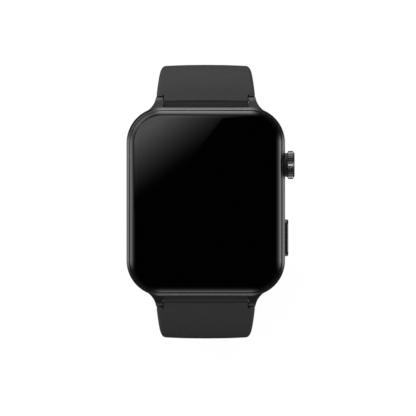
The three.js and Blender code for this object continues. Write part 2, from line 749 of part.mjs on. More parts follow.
function strapShort() {
  const body = loft(shortPath.stations.map((s) => strapRing(shortPath, s, strapWidth(s))));
  const end = shortPath.at(shortPath.length);
  const barrel = rodX(shortHalf.endRadius, -strap.width / 2, strap.width / 2, end.y, end.z, 24);
  const bore = rodX(buckle.barRadius + clearance.running, -strap.width, strap.width, end.y, end.z, 16);
  const halfSlot = shortHalf.slotWidth / 2;
  const slot = block(-halfSlot, halfSlot, -shortHalf.slotDepth, 3, -3, 3);
  const mouldedKeeper = placeOnPath(mouldedLoop(), shortPath, shortPath.length - keeper.mouldedFromEnd);
  return cut(
    join(strapRoot(body), barrel, mouldedKeeper),
    bore,
    placeOnPath(slot, shortPath, shortPath.length),
  );
}

// The keeper that is one piece with the strap: an arch over the outer face, joined to the strap's edges.
function mouldedLoop() {
  const bottom = -strap.halfThickness + strap.innerChamfer;
  const arch = keeperLoop(bottom, bottom - 1);
  const halfOuter = strap.width / 2 + clearance.loose + keeper.wall;
  const side = block(strap.width / 2 - 0.5, halfOuter, -keeper.width / 2, keeper.width / 2, bottom, 0.1);
  return join(arch, side, side.mirror([1, 0, 0]));
}

function strapLong() {
  const tipFrom = longPath.length - longHalf.tipLength;
  const tipSteps = [0.3, 0.55, 0.75, 0.88, 0.96, 1].map((share) => tipFrom + share * longHalf.tipLength);
  const stations = [...longPath.stations.filter((s) => s < tipFrom), tipFrom, ...tipSteps];
  const tipShare = (s) => Math.sqrt(1 - (0.985 * ease(s, tipFrom, longPath.length)) ** 2);
  const body = loft(stations.map((s) => strapRing(longPath, s, strapWidth(s) * tipShare(s))));
  const holes = Array.from({ length: hole.count }, (_, i) => {
    const punch = discZ(hole.radius, -4, 4, 0, 0, 10);
    return placeOnPath(punch, longPath, longPath.length - hole.fromTip - i * hole.pitch);
  });
  return cut(strapRoot(body), ...holes);
}

const freeKeeper = () =>
  placeOnPath(
    keeperLoop(
      -strap.halfThickness - clearance.loose - keeper.wall, -strap.halfThickness - clearance.loose,
    ),
    shortPath,
    shortPath.length - keeper.freeFromEnd,
  );

// ---- Spring bars, drawn on the 12 o'clock bar ----

const tubeEndX = strapEndX - 1.2;
const pinTipX = lugInnerX + bar.tipReach;
const springEnds = { from: -tubeEndX + 3.2, to: knobX - 2.8 };

function barTube() {
  const outer = rodX(bar.tubeRadius, -tubeEndX, tubeEndX, barY, bar.z, 20);
  const bore = rodX(bar.tubeBore, -tubeEndX - 1, tubeEndX + 1, barY, bar.z, 16);
  return cut(outer, bore, releaseSlot());
}

function fixedPin() {
  const steps = [
    [-pinTipX, bar.tipRadius],
    [-tubeEndX - 0.2, bar.tipRadius],
    [-tubeEndX - 0.2, bar.pinRadius],
    [springEnds.from - 0.1, bar.pinRadius],
  ];
  return turnedX(steps, barY, bar.z, 14);
}

function releasePin() {
  const steps = [
    [springEnds.to + 0.1, bar.pinRadius],
    [tubeEndX + 0.2, bar.pinRadius],
    [tubeEndX + 0.2, bar.tipRadius],
    [pinTipX, bar.tipRadius],
  ];
  const knob = new THREE.CylinderGeometry(release.knobRadius, release.knobRadius, knobDrop, 12)
    .rotateX(Math.PI / 2)
    .translate(knobX, 0, -knobDrop / 2)
    .rotateX(THREE.MathUtils.degToRad(strap.heading))
    .translate(0, barY, bar.z);
  return join(turnedX(steps, barY, bar.z, 14), toSolid(knob));
}

class Helix extends THREE.Curve {
  constructor(fromX, toX, radius, turns) {
    super();
    Object.assign(this, { fromX, toX, radius, turns });
  }
  getPoint(t, target = new THREE.Vector3()) {
    const angle = t * this.turns * 2 * Math.PI;
    return target.set(
      THREE.MathUtils.lerp(this.fromX, this.toX, t),
      barY + this.radius * Math.cos(angle),
      bar.z + this.radius * Math.sin(angle),
    );
  }
}

function barSpring() {
  const wire = 0.09;
  const turns = 8;
  const section = Array.from({ length: 5 }, (_, i) => {
    const angle = (i * 2 * Math.PI) / 5;
    return new THREE.Vector2(wire * Math.cos(angle), wire * Math.sin(angle));
  });
  const path = new Helix(springEnds.from + wire, springEnds.to - wire, bar.tubeBore - wire - 0.06, turns);
  return toSolid(
    new THREE.ExtrudeGeometry(
      new THREE.Shape(section), { steps: turns * 8, extrudePath: path, bevelEnabled: false },
    ),
  );
}

// ---- Buckle. Drawn at the origin with Y away from the strap and Z outwards. ----

const buckleInnerX = strap.width / 2 + clearance.loose;
const buckleOuterX = buckleInnerX + buckle.wall;
const atBuckle = (solid) => placeOnPath(solid, shortPath, shortPath.length);
const tangFloor = buckle.thickness / 2 - buckle.notchDepth + clearance.seated;

function buckleFrame() {
  const tipY = buckle.windowLength + buckle.frontBar;
  const outline = roundedRectangle(2 * buckleOuterX, tipY + buckle.backReach, 1.3, 4);
  outline.forEach((p) => p.add(new THREE.Vector2(0, (tipY - buckle.backReach) / 2)));
  const plate = prism(outline, -buckle.thickness / 2, buckle.thickness / 2);
  const window = block(-buckleInnerX, buckleInnerX, -buckle.backReach - 1, buckle.windowLength, -2, 2);
  const notch = block(
    -tang.width / 2 - 0.15, tang.width / 2 + 0.15, 0, tipY + 1,
    buckle.thickness / 2 - buckle.notchDepth, 3,
  );
  const pinHole = rodX(buckle.barRadius + clearance.seated, -buckleOuterX - 1, buckleOuterX + 1, 0, 0, 16);
  return atBuckle(cut(plate, window, notch, pinHole));
}

function buckleTang() {
  const arm = block(
    -tang.width / 2,
    tang.width / 2,
    0,
    buckle.windowLength + buckle.frontBar + tang.overhang,
    tangFloor,
    tangFloor + tang.thickness,
  );
  const eye = rodX(tang.eyeRadius, -tang.width / 2, tang.width / 2, 0, 0);
  return atBuckle(cut(join(arm, eye), rodX(buckle.barRadius + 0.08, -tang.width, tang.width, 0, 0, 16)));
}

const bucklePin = () => atBuckle(rodX(buckle.barRadius, -buckleOuterX + 0.2, buckleOuterX - 0.2, 0, 0, 16));

// ---- The assembly ----

function finish(color, roughness, metalness) {
  return new THREE.MeshStandardMaterial({ color, roughness, metalness });
}
const finishes = {
  frameMetal: finish(0x5a5a5d, 0.38, 0.8),
  coverGlass: finish(0x050506, 0.05, 0),
  coverPlastic: finish(0x1d1d1f, 0.5, 0),
  lensGloss: finish(0x08080a, 0.08, 0),
  silicone: finish(0x2c2c2d, 0.62, 0),
  buckleMetal: finish(0x5a5a5d, 0.3, 0.9),
  steel: finish(0xb4b4b8, 0.3, 1),
  gold: finish(0xc9a227, 0.3, 1),
  magnetNickel: finish(0x9a9a9c, 0.35, 1),
  rubber: finish(0x18181a, 0.8, 0),
  adhesive: finish(0x101012, 0.9, 0),
  displayBlack: finish(0x0b0b0e, 0.3, 0),
  flexAmber: finish(0x9a5a1c, 0.5, 0),
  boardGreen: finish(0x14532f, 0.5, 0),
  batterySilver: finish(0xa9abb0, 0.45, 0.3),
  innerPlastic: finish(0x2a2a2c, 0.6, 0),
  ledGreen: finish(0x3fbf5a, 0.3, 0),
  sensorDark: finish(0x202024, 0.3, 0),
};

const watch = new THREE.Group();
const upperSide = new THREE.Group();
const lowerSide = new THREE.Group();
lowerSide.rotation.z = Math.PI;
watch.add(upperSide, lowerSide);

function add(name, solid, material, group = watch) {
  const mesh = new THREE.Mesh(toGeometry(solid), material);
  mesh.name = name;
  group.add(mesh);
}

add("case_frame", caseFrame(), finishes.frameMetal);
add("cover_glass", coverGlass(), finishes.coverGlass);
add("glass_adhesive", glassAdhesive(), finishes.adhesive);
add("display_panel", displayPanel(), finishes.displayBlack);
add("display_flex", displayFlex(), finishes.flexAmber);
add("inner_chassis", innerChassis(), finishes.innerPlastic);
add("main_board", mainBoard(), finishes.boardGreen);
add("shield_can", shieldCan(), finishes.steel);
add("vibration_motor", vibrationMotor(), finishes.steel);
add("battery", battery(), finishes.batterySilver);
add("back_cover", backCover(), finishes.coverPlastic);
add("back_seal", backSeal(), finishes.rubber);
add("sensor_lens", discZ(lens.radius, 0, lens.thickness, 0, 0, 40), finishes.lensGloss);
add("sensor_board", sensorBoard(), finishes.boardGreen);
add("green_led_left", sensorChip(-3.4, 0, 1.6, 2.2), finishes.ledGreen);
add("green_led_right", sensorChip(3.4, 0, 1.6, 2.2), finishes.ledGreen);
add("photodiode", sensorChip(0, 0, 2.6, 3.0), finishes.sensorDark);
fourCorners.forEach(
  ([sx, sy], i) => add(`back_screw_${i + 1}`, backScrew(sx * screwX, sy * screwY), finishes.steel),
);
[["left", -1], ["right", 1]].forEach(([side, sign]) => {
  add(`charge_contact_${side}`, chargeContactPin(sign), finishes.gold);
  add(`charge_magnet_${side}`, chargeMagnet(sign), finishes.magnetNickel);
});

add("crown_tube", crownTube(), finishes.steel);
add("crown_knob", crownKnob(), finishes.frameMetal);
add("crown_stem", crownStemRod(), finishes.steel);
add("crown_seal", crownSeal(), finishes.rubber);
add("crown_clip", crownClip(), finishes.steel);
add("crown_plunger", switchPlunger(crownY), finishes.innerPlastic);
add("crown_switch", tactSwitch(crownY), finishes.innerPlastic);
add("side_button", sideButton(), finishes.frameMetal);
add("button_seal", buttonSeal(), finishes.rubber);
add("button_clip", buttonClip(), finishes.steel);
add("button_plunger", switchPlunger(buttonY), finishes.innerPlastic);
add("button_switch", tactSwitch(buttonY), finishes.innerPlastic);

[["upper", upperSide], ["lower", lowerSide]].forEach(([side, group]) => {
  add(`${side}_bar_tube`, barTube(), finishes.steel, group);
  add(`${side}_fixed_pin`, fixedPin(), finishes.steel, group);
  add(`${side}_release_pin`, releasePin(), finishes.steel, group);
  add(`${side}_bar_spring`, barSpring(), finishes.steel, group);
});
add("strap_short", strapShort(), finishes.silicone, upperSide);
add("free_keeper", freeKeeper(), finishes.silicone, upperSide);
add("buckle_frame", buckleFrame(), finishes.buckleMetal, upperSide);
add("buckle_tang", buckleTang(), finishes.buckleMetal, upperSide);
add("buckle_pin", bucklePin(), finishes.steel, upperSide);
add("strap_long", strapLong(), finishes.silicone, lowerSide);

export default watch;
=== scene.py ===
import math
import bmesh
import bpy
from mathutils import Matrix, Vector


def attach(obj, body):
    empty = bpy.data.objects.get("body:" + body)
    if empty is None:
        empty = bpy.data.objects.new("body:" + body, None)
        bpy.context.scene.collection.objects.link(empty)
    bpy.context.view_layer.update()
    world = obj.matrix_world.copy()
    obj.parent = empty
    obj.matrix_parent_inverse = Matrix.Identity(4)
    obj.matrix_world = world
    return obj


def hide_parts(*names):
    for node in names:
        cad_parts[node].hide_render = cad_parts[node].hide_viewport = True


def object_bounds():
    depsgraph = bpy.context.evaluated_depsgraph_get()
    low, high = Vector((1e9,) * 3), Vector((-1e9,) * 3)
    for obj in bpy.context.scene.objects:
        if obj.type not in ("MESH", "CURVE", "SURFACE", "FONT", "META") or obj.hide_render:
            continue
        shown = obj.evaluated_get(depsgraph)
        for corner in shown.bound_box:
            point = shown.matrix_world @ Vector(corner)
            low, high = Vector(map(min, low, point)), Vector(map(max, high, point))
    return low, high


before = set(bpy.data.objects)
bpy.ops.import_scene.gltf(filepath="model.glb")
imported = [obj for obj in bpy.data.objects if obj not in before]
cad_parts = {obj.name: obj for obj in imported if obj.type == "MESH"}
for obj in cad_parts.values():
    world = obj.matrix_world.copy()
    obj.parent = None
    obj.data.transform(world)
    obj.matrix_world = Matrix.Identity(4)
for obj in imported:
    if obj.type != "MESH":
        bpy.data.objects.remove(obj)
cadLow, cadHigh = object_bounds()
mm = 0.001
level = 0.0005  # the rise of a ring step that stays flat, in millimetres
corners = ((1, 1), (-1, 1), (-1, -1), (1, -1))
print("frame loaded:", len(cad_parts), "nodes")


# working helpers

def deselectAll():
    if bpy.context.mode != "OBJECT":
        bpy.ops.object.mode_set(mode="OBJECT")
    bpy.ops.object.select_all(action="DESELECT")


def activate(piece):
    deselectAll()
    piece.select_set(True)
    bpy.context.view_layer.objects.active = piece


def newPiece(name, scale=(1, 1, 1)):
    # names the primitive that was just added and puts its place and size into its mesh
    piece = bpy.context.object
    piece.scale = scale
    piece.name = name
    piece.data.name = name
    activate(piece)
    bpy.ops.object.transform_apply(location=True, rotation=True, scale=True)
    return piece


def editMesh(piece):
    activate(piece)
    bpy.ops.object.mode_set(mode="EDIT")
    bpy.ops.mesh.select_all(action="DESELECT")


def selectAll():
    bpy.ops.mesh.select_all(action="SELECT")


def leaveEdit():
    bpy.ops.object.mode_set(mode="OBJECT")


def pickFaces(piece, test):
    bpy.ops.mesh.select_mode(type="FACE")
    bpy.ops.mesh.select_all(action="DESELECT")
    mesh = bmesh.from_edit_mesh(piece.data)
    mesh.normal_update()
    for face in mesh.faces:
        if test(face.calc_center_median() / mm, face.normal):
            face.select_set(True)
    bmesh.update_edit_mesh(piece.data)


def pickEdges(piece, test):
    bpy.ops.mesh.select_mode(type="EDGE")
    bpy.ops.mesh.select_all(action="DESELECT")
    mesh = bmesh.from_edit_mesh(piece.data)
    for edge in mesh.edges:
        a, b = edge.verts[0].co / mm, edge.verts[1].co / mm
        if test(a, b):
            edge.select_set(True)
    bmesh.update_edit_mesh(piece.data)


def pickVerts(piece, test):
    bpy.ops.mesh.select_mode(type="VERT")
    bpy.ops.mesh.select_all(action="DESELECT")
    mesh = bmesh.from_edit_mesh(piece.data)
    for vert in mesh.verts:
        if test(vert.co / mm):
            vert.select_set(True)
    mesh.select_flush_mode()
    bmesh.update_edit_mesh(piece.data)


def faceOutwards():
    # turns every face outwards and leaves edit mode
    selectAll()
    bpy.ops.mesh.normals_make_consistent(inside=False)
    leaveEdit()


def pull(distance):
    # extrudes what is selected along Z, in millimetres
    bpy.ops.mesh.extrude_region_move(TRANSFORM_OT_translate={"value": (0, 0, distance * mm)})


def growFace(steps, push):
    # moves the selected face inward and along, one ring at a time; push is +1 or -1 along Z
    for inward, along in steps:
        if inward == 0:
            pull(push * along)
        else:
            bpy.ops.mesh.inset(thickness=inward * mm, depth=along * mm, use_even_offset=True)


def quarterSteps(inward, height, count, flatFirst=False):
    # ring steps round a quarter of an ellipse, standing up first or lying flat first
    marks = []
    for i in range(count + 1):
        angle = i / count * math.pi / 2
        if flatFirst:
            marks.append((inward * math.sin(angle), height * (1 - math.cos(angle))))
        else:
            marks.append((inward * (1 - math.cos(angle)), height * math.sin(angle)))
    return [(b[0] - a[0], b[1] - a[1]) for a, b in zip(marks, marks[1:])]


def finishModifier(piece, kind, **settings):
    activate(piece)
    step = piece.modifiers.new(kind.lower(), kind)
    for key, value in settings.items():
        setattr(step, key, value)
    bpy.ops.object.modifier_apply(modifier=step.name)


def softenEdges(piece, width, degrees=40, segments=3):
    finishModifier(piece, "BEVEL", width=width * mm, segments=segments, limit_method="ANGLE",
                   angle_limit=math.radians(degrees), use_clamp_overlap=True, miter_outer="MITER_ARC")


def combine(piece, other, how):
    finishModifier(piece, "BOOLEAN", operation=how, solver="EXACT", object=other)
    bpy.data.objects.remove(other, do_unlink=True)


def cut(piece, other):
    combine(piece, other, "DIFFERENCE")


def copyPiece(piece, name):
    activate(piece)
    bpy.ops.object.duplicate()
    twin = bpy.context.object
    twin.name = name
    twin.data.name = name
    return twin


def turnPiece(piece, matrix):
    piece.data.transform(matrix)
    piece.data.update()


def placement(x, y, z, angle=0, axis="Z"):
    # a turn about one axis, then a move in millimetres
    return Matrix.Translation((x * mm, y * mm, z * mm)) @ Matrix.Rotation(angle, 4, axis)


def roundEdges(piece, test, radius, segments):
    # rounds the edges that the test picks
    editMesh(piece)
    pickEdges(piece, test)
    bpy.ops.mesh.bevel(offset=radius * mm, segments=segments, affect="EDGES")
    leaveEdit()


def cleanMesh(piece, distance=0.0005):
    editMesh(piece)
    selectAll()
    bpy.ops.mesh.remove_doubles(threshold=distance * mm)
    bpy.ops.mesh.dissolve_degenerate(threshold=distance * mm)
    bpy.ops.mesh.fill_holes(sides=4)  # closes the slivers that a cut may leave
    bpy.ops.mesh.normals_make_consistent(inside=False)
    leaveEdit()


def shadeSmooth(piece, degrees=35, evenOut=True):
    activate(piece)
    bpy.ops.object.shade_smooth_by_angle(angle=math.radians(degrees))
    if evenOut:  # keeps the flat faces flat beside their round edges
        finishModifier(piece, "WEIGHTED_NORMAL", mode="FACE_AREA", weight=50, keep_sharp=True)


def rod(name, radius, fromX, toX, y, z, vertices=48):
    # a round bar along X, in millimetres
    deselectAll()
    bpy.ops.mesh.primitive_cylinder_add(
        vertices=vertices, radius=radius * mm, depth=(toX - fromX) * mm,
        location=((fromX + toX) / 2 * mm, y * mm, z * mm), rotation=(0, math.pi / 2, 0))
    return newPiece(name)


def disc(name, radius, depth, vertices, place=(0, 0, 0), scale=(1, 1, 1)):
    # a round bar along Z, in millimetres
    deselectAll()
    bpy.ops.mesh.primitive_cylinder_add(
        vertices=vertices, radius=radius * mm, depth=depth * mm, location=[v * mm for v in place])
    return newPiece(name, scale)


def block(name, low, high):
    deselectAll()
    size = [b - a for a, b in zip(low, high)]
    middle = [(a + b) / 2 * mm for a, b in zip(low, high)]
    bpy.ops.mesh.primitive_cube_add(size=mm, location=middle)
    return newPiece(name, size)


def roundedSheet(name, width, length, corner, segments, z=0):
    # a flat sheet with round corners, in XY
    deselectAll()
    bpy.ops.mesh.primitive_plane_add(size=mm, location=(0, 0, z * mm))
    piece = newPiece(name, (width, length, 1))
    editMesh(piece)
    selectAll()
    bpy.ops.mesh.bevel(offset=corner * mm, segments=segments, affect="VERTICES", clamp_overlap=False)
    return piece  # still in edit mode


def slab(name, width, length, corner, segments, z, rise):
    # the sheet pulled up or down into a plate, its far face still selected
    piece = roundedSheet(name, width, length, corner, segments, z)
    pull(rise)
    bpy.ops.mesh.normals_make_consistent(inside=False)
    return piece  # still in edit mode


# materials

def newMaterial(name):
    material = bpy.data.materials.new(name)
    material.use_nodes = True
    tree = material.node_tree
    return material, tree, tree.nodes["Principled BSDF"]


def noiseAt(tree, scale, detail=3, stretch=(1, 1, 1), roughness=0.5):
    place = tree.nodes.new("ShaderNodeTexCoord")
    mapping = tree.nodes.new("ShaderNodeMapping")
    mapping.inputs["Scale"].default_value = stretch
    noise = tree.nodes.new("ShaderNodeTexNoise")
    noise.inputs["Scale"].default_value = scale
    noise.inputs["Detail"].default_value = detail
    noise.inputs["Roughness"].default_value = roughness
    tree.links.new(place.outputs["Object"], mapping.inputs["Vector"])
    tree.links.new(mapping.outputs["Vector"], noise.inputs["Vector"])
    return noise.outputs["Fac"]


def rampTo(tree, value, socket, low, high, start=0.35, end=0.65):
    # spreads a pattern between two numbers or two colours
    ramp = tree.nodes.new("ShaderNodeValToRGB")
    ramp.color_ramp.elements[0].position = start
    ramp.color_ramp.elements[1].position = end
    lowColour = low if isinstance(low, tuple) else (low, low, low)
    highColour = high if isinstance(high, tuple) else (high, high, high)
    ramp.color_ramp.elements[0].color = (*lowColour, 1)
    ramp.color_ramp.elements[1].color = (*highColour, 1)
    tree.links.new(value, ramp.inputs["Fac"])
    tree.links.new(ramp.outputs["Color"], socket)
    return ramp.outputs["Color"]


def bumpFrom(tree, shader, value, height, strength=1.0, under=None):
    bump = tree.nodes.new("ShaderNodeBump")
    bump.inputs["Strength"].default_value = strength
    bump.inputs["Distance"].default_value = height * mm
    tree.links.new(value, bump.inputs["Height"])
    if under:
        tree.links.new(under, bump.inputs["Normal"])
    tree.links.new(bump.outputs["Normal"], shader.inputs["Normal"])
    return bump.outputs["Normal"]


finishTable = {
    # dark colour, light colour, metallic, smooth and rough limits, grain per metre, grain height in mm
    "caseMetal": ((0.092, 0.092, 0.093), (0.108, 0.108, 0.109), 0.95, (0.18, 0.26), 12000, 0.0005),
    # the lugs: rougher than the case, and darker, which is painted shade
    "lugMetalPaintedShade": ((0.046, 0.046, 0.047), (0.056, 0.056, 0.057), 0.95, (0.36, 0.44), 12000, 0.0008),
    "crownMetal": ((0.062, 0.062, 0.063), (0.072, 0.072, 0.073), 0.95, (0.24, 0.30), 9000, 0.0006),
    # the crown's collar: a dark finish, made near-black to also paint the shade in the neck between crown
    # and case
    "collarMetalPaintedShade": ((0.012, 0.012, 0.012), (0.018, 0.018, 0.018), 0.6, (0.35, 0.45), 9000, 0.0015),
    # the spring bars' steel, darkened to paint the shade in the gaps where the bars show
    "barSteelPaintedShade": ((0.045, 0.045, 0.047), (0.07, 0.07, 0.072), 1.0, (0.25, 0.4), 5000, 0.002),
    "buckleMetal": ((0.060, 0.060, 0.063), (0.085, 0.085, 0.088), 0.9, (0.22, 0.36), 6000, 0.003),
    "brightSteel": ((0.42, 0.42, 0.43), (0.56, 0.56, 0.57), 1.0, (0.18, 0.34), 5000, 0.003),
    "goldPlate": ((0.62, 0.42, 0.13), (0.78, 0.56, 0.22), 1.0, (0.15, 0.28), 5000, 0.002),
    "nickelPlate": ((0.50, 0.49, 0.47), (0.62, 0.61, 0.58), 1.0, (0.16, 0.30), 4000, 0.002),
    "backPlastic": ((0.018, 0.018, 0.019), (0.026, 0.026, 0.027), 0.0, (0.34, 0.46), 11000, 0.006),
    "sealRubber": ((0.012, 0.012, 0.012), (0.022, 0.022, 0.022), 0.0, (0.65, 0.8), 8000, 0.008),
    "tapeFoam": ((0.010, 0.010, 0.011), (0.018, 0.018, 0.019), 0.0, (0.7, 0.85), 6000, 0.01),
    "screenGlass": ((0.006, 0.006, 0.008), (0.012, 0.012, 0.015), 0.0, (0.1, 0.2), 1500, 0.001),
    "ribbonFilm": ((0.20, 0.085, 0.02), (0.30, 0.13, 0.03), 0.0, (0.3, 0.45), 2500, 0.004),
    "boardMask": ((0.006, 0.055, 0.025), (0.015, 0.10, 0.045), 0.0, (0.3, 0.5), 2200, 0.01),
    "cellFoil": ((0.34, 0.34, 0.35), (0.46, 0.46, 0.47), 0.6, (0.3, 0.45), 900, 0.02),
    "innerPlastic": ((0.016, 0.016, 0.017), (0.024, 0.024, 0.025), 0.0, (0.4, 0.55), 7000, 0.008),
    "ledPackage": ((0.05, 0.20, 0.07), (0.12, 0.38, 0.15), 0.0, (0.1, 0.25), 3000, 0.002),
    "chipPackage": ((0.012, 0.012, 0.016), (0.03, 0.03, 0.036), 0.0, (0.2, 0.35), 3500, 0.003),
}


def grainedFinish(name, stretch=(1, 1, 1)):
    dark, light, metallic, (smooth, rough), grain, height = finishTable[name]
    material, tree, shader = newMaterial(name)
    shader.inputs["Metallic"].default_value = metallic
    cloud = noiseAt(tree, grain * 0.12, 4, stretch)
    wear = noiseAt(tree, grain * 0.3, 3, stretch)
    rampTo(tree, cloud, shader.inputs["Base Color"], dark, light)
    rampTo(tree, wear, shader.inputs["Roughness"], smooth, rough, 0.3, 0.7)
    bumpFrom(tree, shader, noiseAt(tree, grain, 3, stretch), height, 0.6)
    return material


def siliconeFinish():
    material, tree, shader = newMaterial("silicone")
    shader.inputs["Sheen Weight"].default_value = 0.008
    shader.inputs["Sheen Roughness"].default_value = 0.5
    shader.inputs["Specular IOR Level"].default_value = 0.07
    cloud = noiseAt(tree, 700, 5)
    rampTo(tree, cloud, shader.inputs["Base Color"], (0.0282, 0.0282, 0.0287), (0.0308, 0.0308, 0.0313))
    rampTo(tree, noiseAt(tree, 1400, 4), shader.inputs["Roughness"], 0.52, 0.68, 0.3, 0.7)
    fine = bumpFrom(tree, shader, noiseAt(tree, 14000, 2, roughness=0.7), 0.008, 0.7)
    bumpFrom(tree, shader, noiseAt(tree, 2600, 3), 0.006, 0.35, under=fine)
    return material


def glassFinish():
    material, tree, shader = newMaterial("coverGlass")
    shader.inputs["IOR"].default_value = 1.5
    shader.inputs["Base Color"].default_value = (0.0004, 0.0004, 0.0005, 1)
    film = noiseAt(tree, 90, 5)
    rampTo(tree, film, shader.inputs["Roughness"], 0.012, 0.03, 0.35, 0.7)
    bumpFrom(tree, shader, noiseAt(tree, 45, 2), 0.0006, 0.25)
    return material


def lensFinish():
    # dark gloss with faint rings printed behind it
    material, tree, shader = newMaterial("sensorGloss")
    shader.inputs["IOR"].default_value = 1.5
    shader.inputs["Coat Weight"].default_value = 0.6
    shader.inputs["Coat Roughness"].default_value = 0.03
    place = tree.nodes.new("ShaderNodeTexCoord")
    wave = tree.nodes.new("ShaderNodeTexWave")
    wave.wave_type = "RINGS"
    wave.rings_direction = "SPHERICAL"
    wave.inputs["Scale"].default_value = 42
    tree.links.new(place.outputs["Object"], wave.inputs["Vector"])
    dark, light = (0.004, 0.004, 0.005), (0.010, 0.010, 0.012)
    rampTo(tree, wave.outputs["Fac"], shader.inputs["Base Color"], dark, light, 0.1, 0.9)
    rampTo(tree, noiseAt(tree, 300, 4), shader.inputs["Roughness"], 0.05, 0.11)
    return material


finishes = {name: grainedFinish(name) for name in finishTable if name != "buckleMetal"}
finishes["buckleMetal"] = grainedFinish("buckleMetal", stretch=(0.06, 1, 1))  # brushed along the bar
finishes["silicone"] = siliconeFinish()
finishes["coverGlass"] = glassFinish()
finishes["sensorGloss"] = lensFinish()
print("materials made:", len(finishes))


def dress(piece, finish, body, slot, *nodes):
    piece.data.materials.clear()
    piece.data.materials.append(finishes[finish])
    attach(piece, body)
    if nodes:
        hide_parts(*nodes)


# case

caseShape = {
    "width": 37.4,
    "length": 44.5,
    "corner": 8.4,
    "cornerSegments": 20,
    "band": (4.8, 7.5),
    "upper": (0.06, 0.3),
    "lower": (2.2, 3.1),
    "lip": (0.53, 1.16),
    "lipWidth": 0.03,
    "lipRound": 0.03,
    "groove": 0.62,
    "glassSeat": 2.0,
    "backRim": 0.72,
    "backRecess": 0.8,
    "backSeat": 1.5,
    "outside": 20,
}
lugShape = {
    "barY": 22.8,
    "barZ": 3.4,
    "radius": 1.95,
    "innerX": 10.1,
    "endX": 11.72,
    "rootX": 14.3,
    "topTangent": 62,
    "bottomTangent": -95,
    "intoCase": 3.2,
    "wedgeLow": 1.7,
    "wedgeHigh": 6,
    "flareLength": 3.7,
    "flareStraight": 0.3,
    "flarePower": 2.6,
    "planLength": 8,
    "planHeight": 9,
    "soften": 0.14,
    "pocketGap": 0.02,
    "pinHole": 0.5,
    "pinFrom": 10,
    "pinTo": 11.3,
}


def makeCaseShell():
    s = caseShape
    lowZ, highZ = s["band"]
    case = slab("caseFrame", s["width"], s["length"], s["corner"], s["cornerSegments"], lowZ, highZ - lowZ)
    pickFaces(case, lambda c, n: n.z > 0.9)
    upper = quarterSteps(*s["upper"], 7)
    lip = [(s["lip"][0] / 3, s["lip"][1] * share) for share in (0.42, 0.34, 0.24)]
    edge = quarterSteps(s["lipRound"], -s["lipRound"], 2, flatFirst=True)
    growFace(upper + lip + [(s["lipWidth"], level)] + edge, 1)
    growFace([(0, -s["groove"]), (s["glassSeat"], level)], 1)
    selectAll()
    bpy.ops.mesh.normals_make_consistent(inside=False)
    pickFaces(case, lambda c, n: n.z < -0.9)
    growFace(quarterSteps(*s["lower"], 12), -1)
    growFace([(s["backRim"], level), (0, -s["backRecess"]), (s["backSeat"], level)], -1)
    faceOutwards()
    return case


def lugOuterX(y):
    # the outer side flares from the lug's end into the case, hollow in between
    s = lugShape
    endY = s["barY"] + s["radius"]
    share = min(max((endY - y) / s["flareLength"], 0), 1)
    straight = s["flareStraight"]
    bulge = straight * share + (1 - straight) * share ** s["flarePower"]
    return s["endX"] + (s["rootX"] - s["endX"]) * bulge


def makeLug():
    # a round end, and a wedge that runs on from it at a tangent into the case
    s = lugShape
    low, high = s["wedgeLow"], s["wedgeHigh"]
    lug = rod("lug", s["radius"], s["innerX"], s["rootX"], s["barY"], s["barZ"], 64)
    wedge = block("lugWedge", (s["innerX"], s["barY"] - s["intoCase"], low), (s["rootX"], s["barY"], high))
    top = math.radians(s["topTangent"])
    bottom = math.radians(s["bottomTangent"])
    topY, topZ = s["barY"] + s["radius"] * math.cos(top), s["barZ"] + s["radius"] * math.sin(top)
    bottomZ = s["barZ"] + s["radius"] * math.sin(bottom)
    editMesh(wedge)
    pickVerts(wedge, lambda v: v.z > high - 1 and v.y > s["barY"] - 0.1)
    bpy.ops.transform.translate(value=(0, (topY - s["barY"]) * mm, (topZ - high) * mm))
    rise = (topY - s["barY"] + s["intoCase"]) * math.cos(top) / math.sin(top)
    pickVerts(wedge, lambda v: v.z > high - 1 and v.y < s["barY"] - 1)
    bpy.ops.transform.translate(value=(0, 0, (topZ + rise - high) * mm))
    pickVerts(wedge, lambda v: v.z < low + 0.3 and v.y > s["barY"] - 0.1)
    bpy.ops.transform.translate(value=(0, s["radius"] * math.cos(bottom) * mm, (bottomZ - low) * mm))
    leaveEdit()
    combine(lug, wedge, "UNION")
    deselectAll()
    middleY = s["barY"] + s["radius"] + 0.5 - s["planLength"] / 2
    bpy.ops.mesh.primitive_grid_add(
        x_subdivisions=1, y_subdivisions=24, size=mm,
        location=((s["innerX"] + s["rootX"]) / 2 * mm, middleY * mm, 0))
    plan = newPiece("lugPlan", (s["rootX"] - s["innerX"], s["planLength"], 1))
    for vert in plan.data.vertices:
        if vert.co.x > (s["innerX"] + 0.1) * mm:
            vert.co.x = lugOuterX(vert.co.y / mm) * mm
    editMesh(plan)
    selectAll()
    pull(s["planHeight"])
    faceOutwards()
    combine(lug, plan, "INTERSECT")
    cleanMesh(lug)
    softenEdges(lug, s["soften"], 40, 3)
    return lug


def outsideCase(point, margin):
    # whether a point lies outside the case's outline in plan, on a lug
    s = caseShape
    acrossX = max(abs(point.x) - s["width"] / 2 + s["corner"], 0)
    alongY = max(abs(point.y) - s["length"] / 2 + s["corner"], 0)
    return math.hypot(acrossX, alongY) > s["corner"] + margin


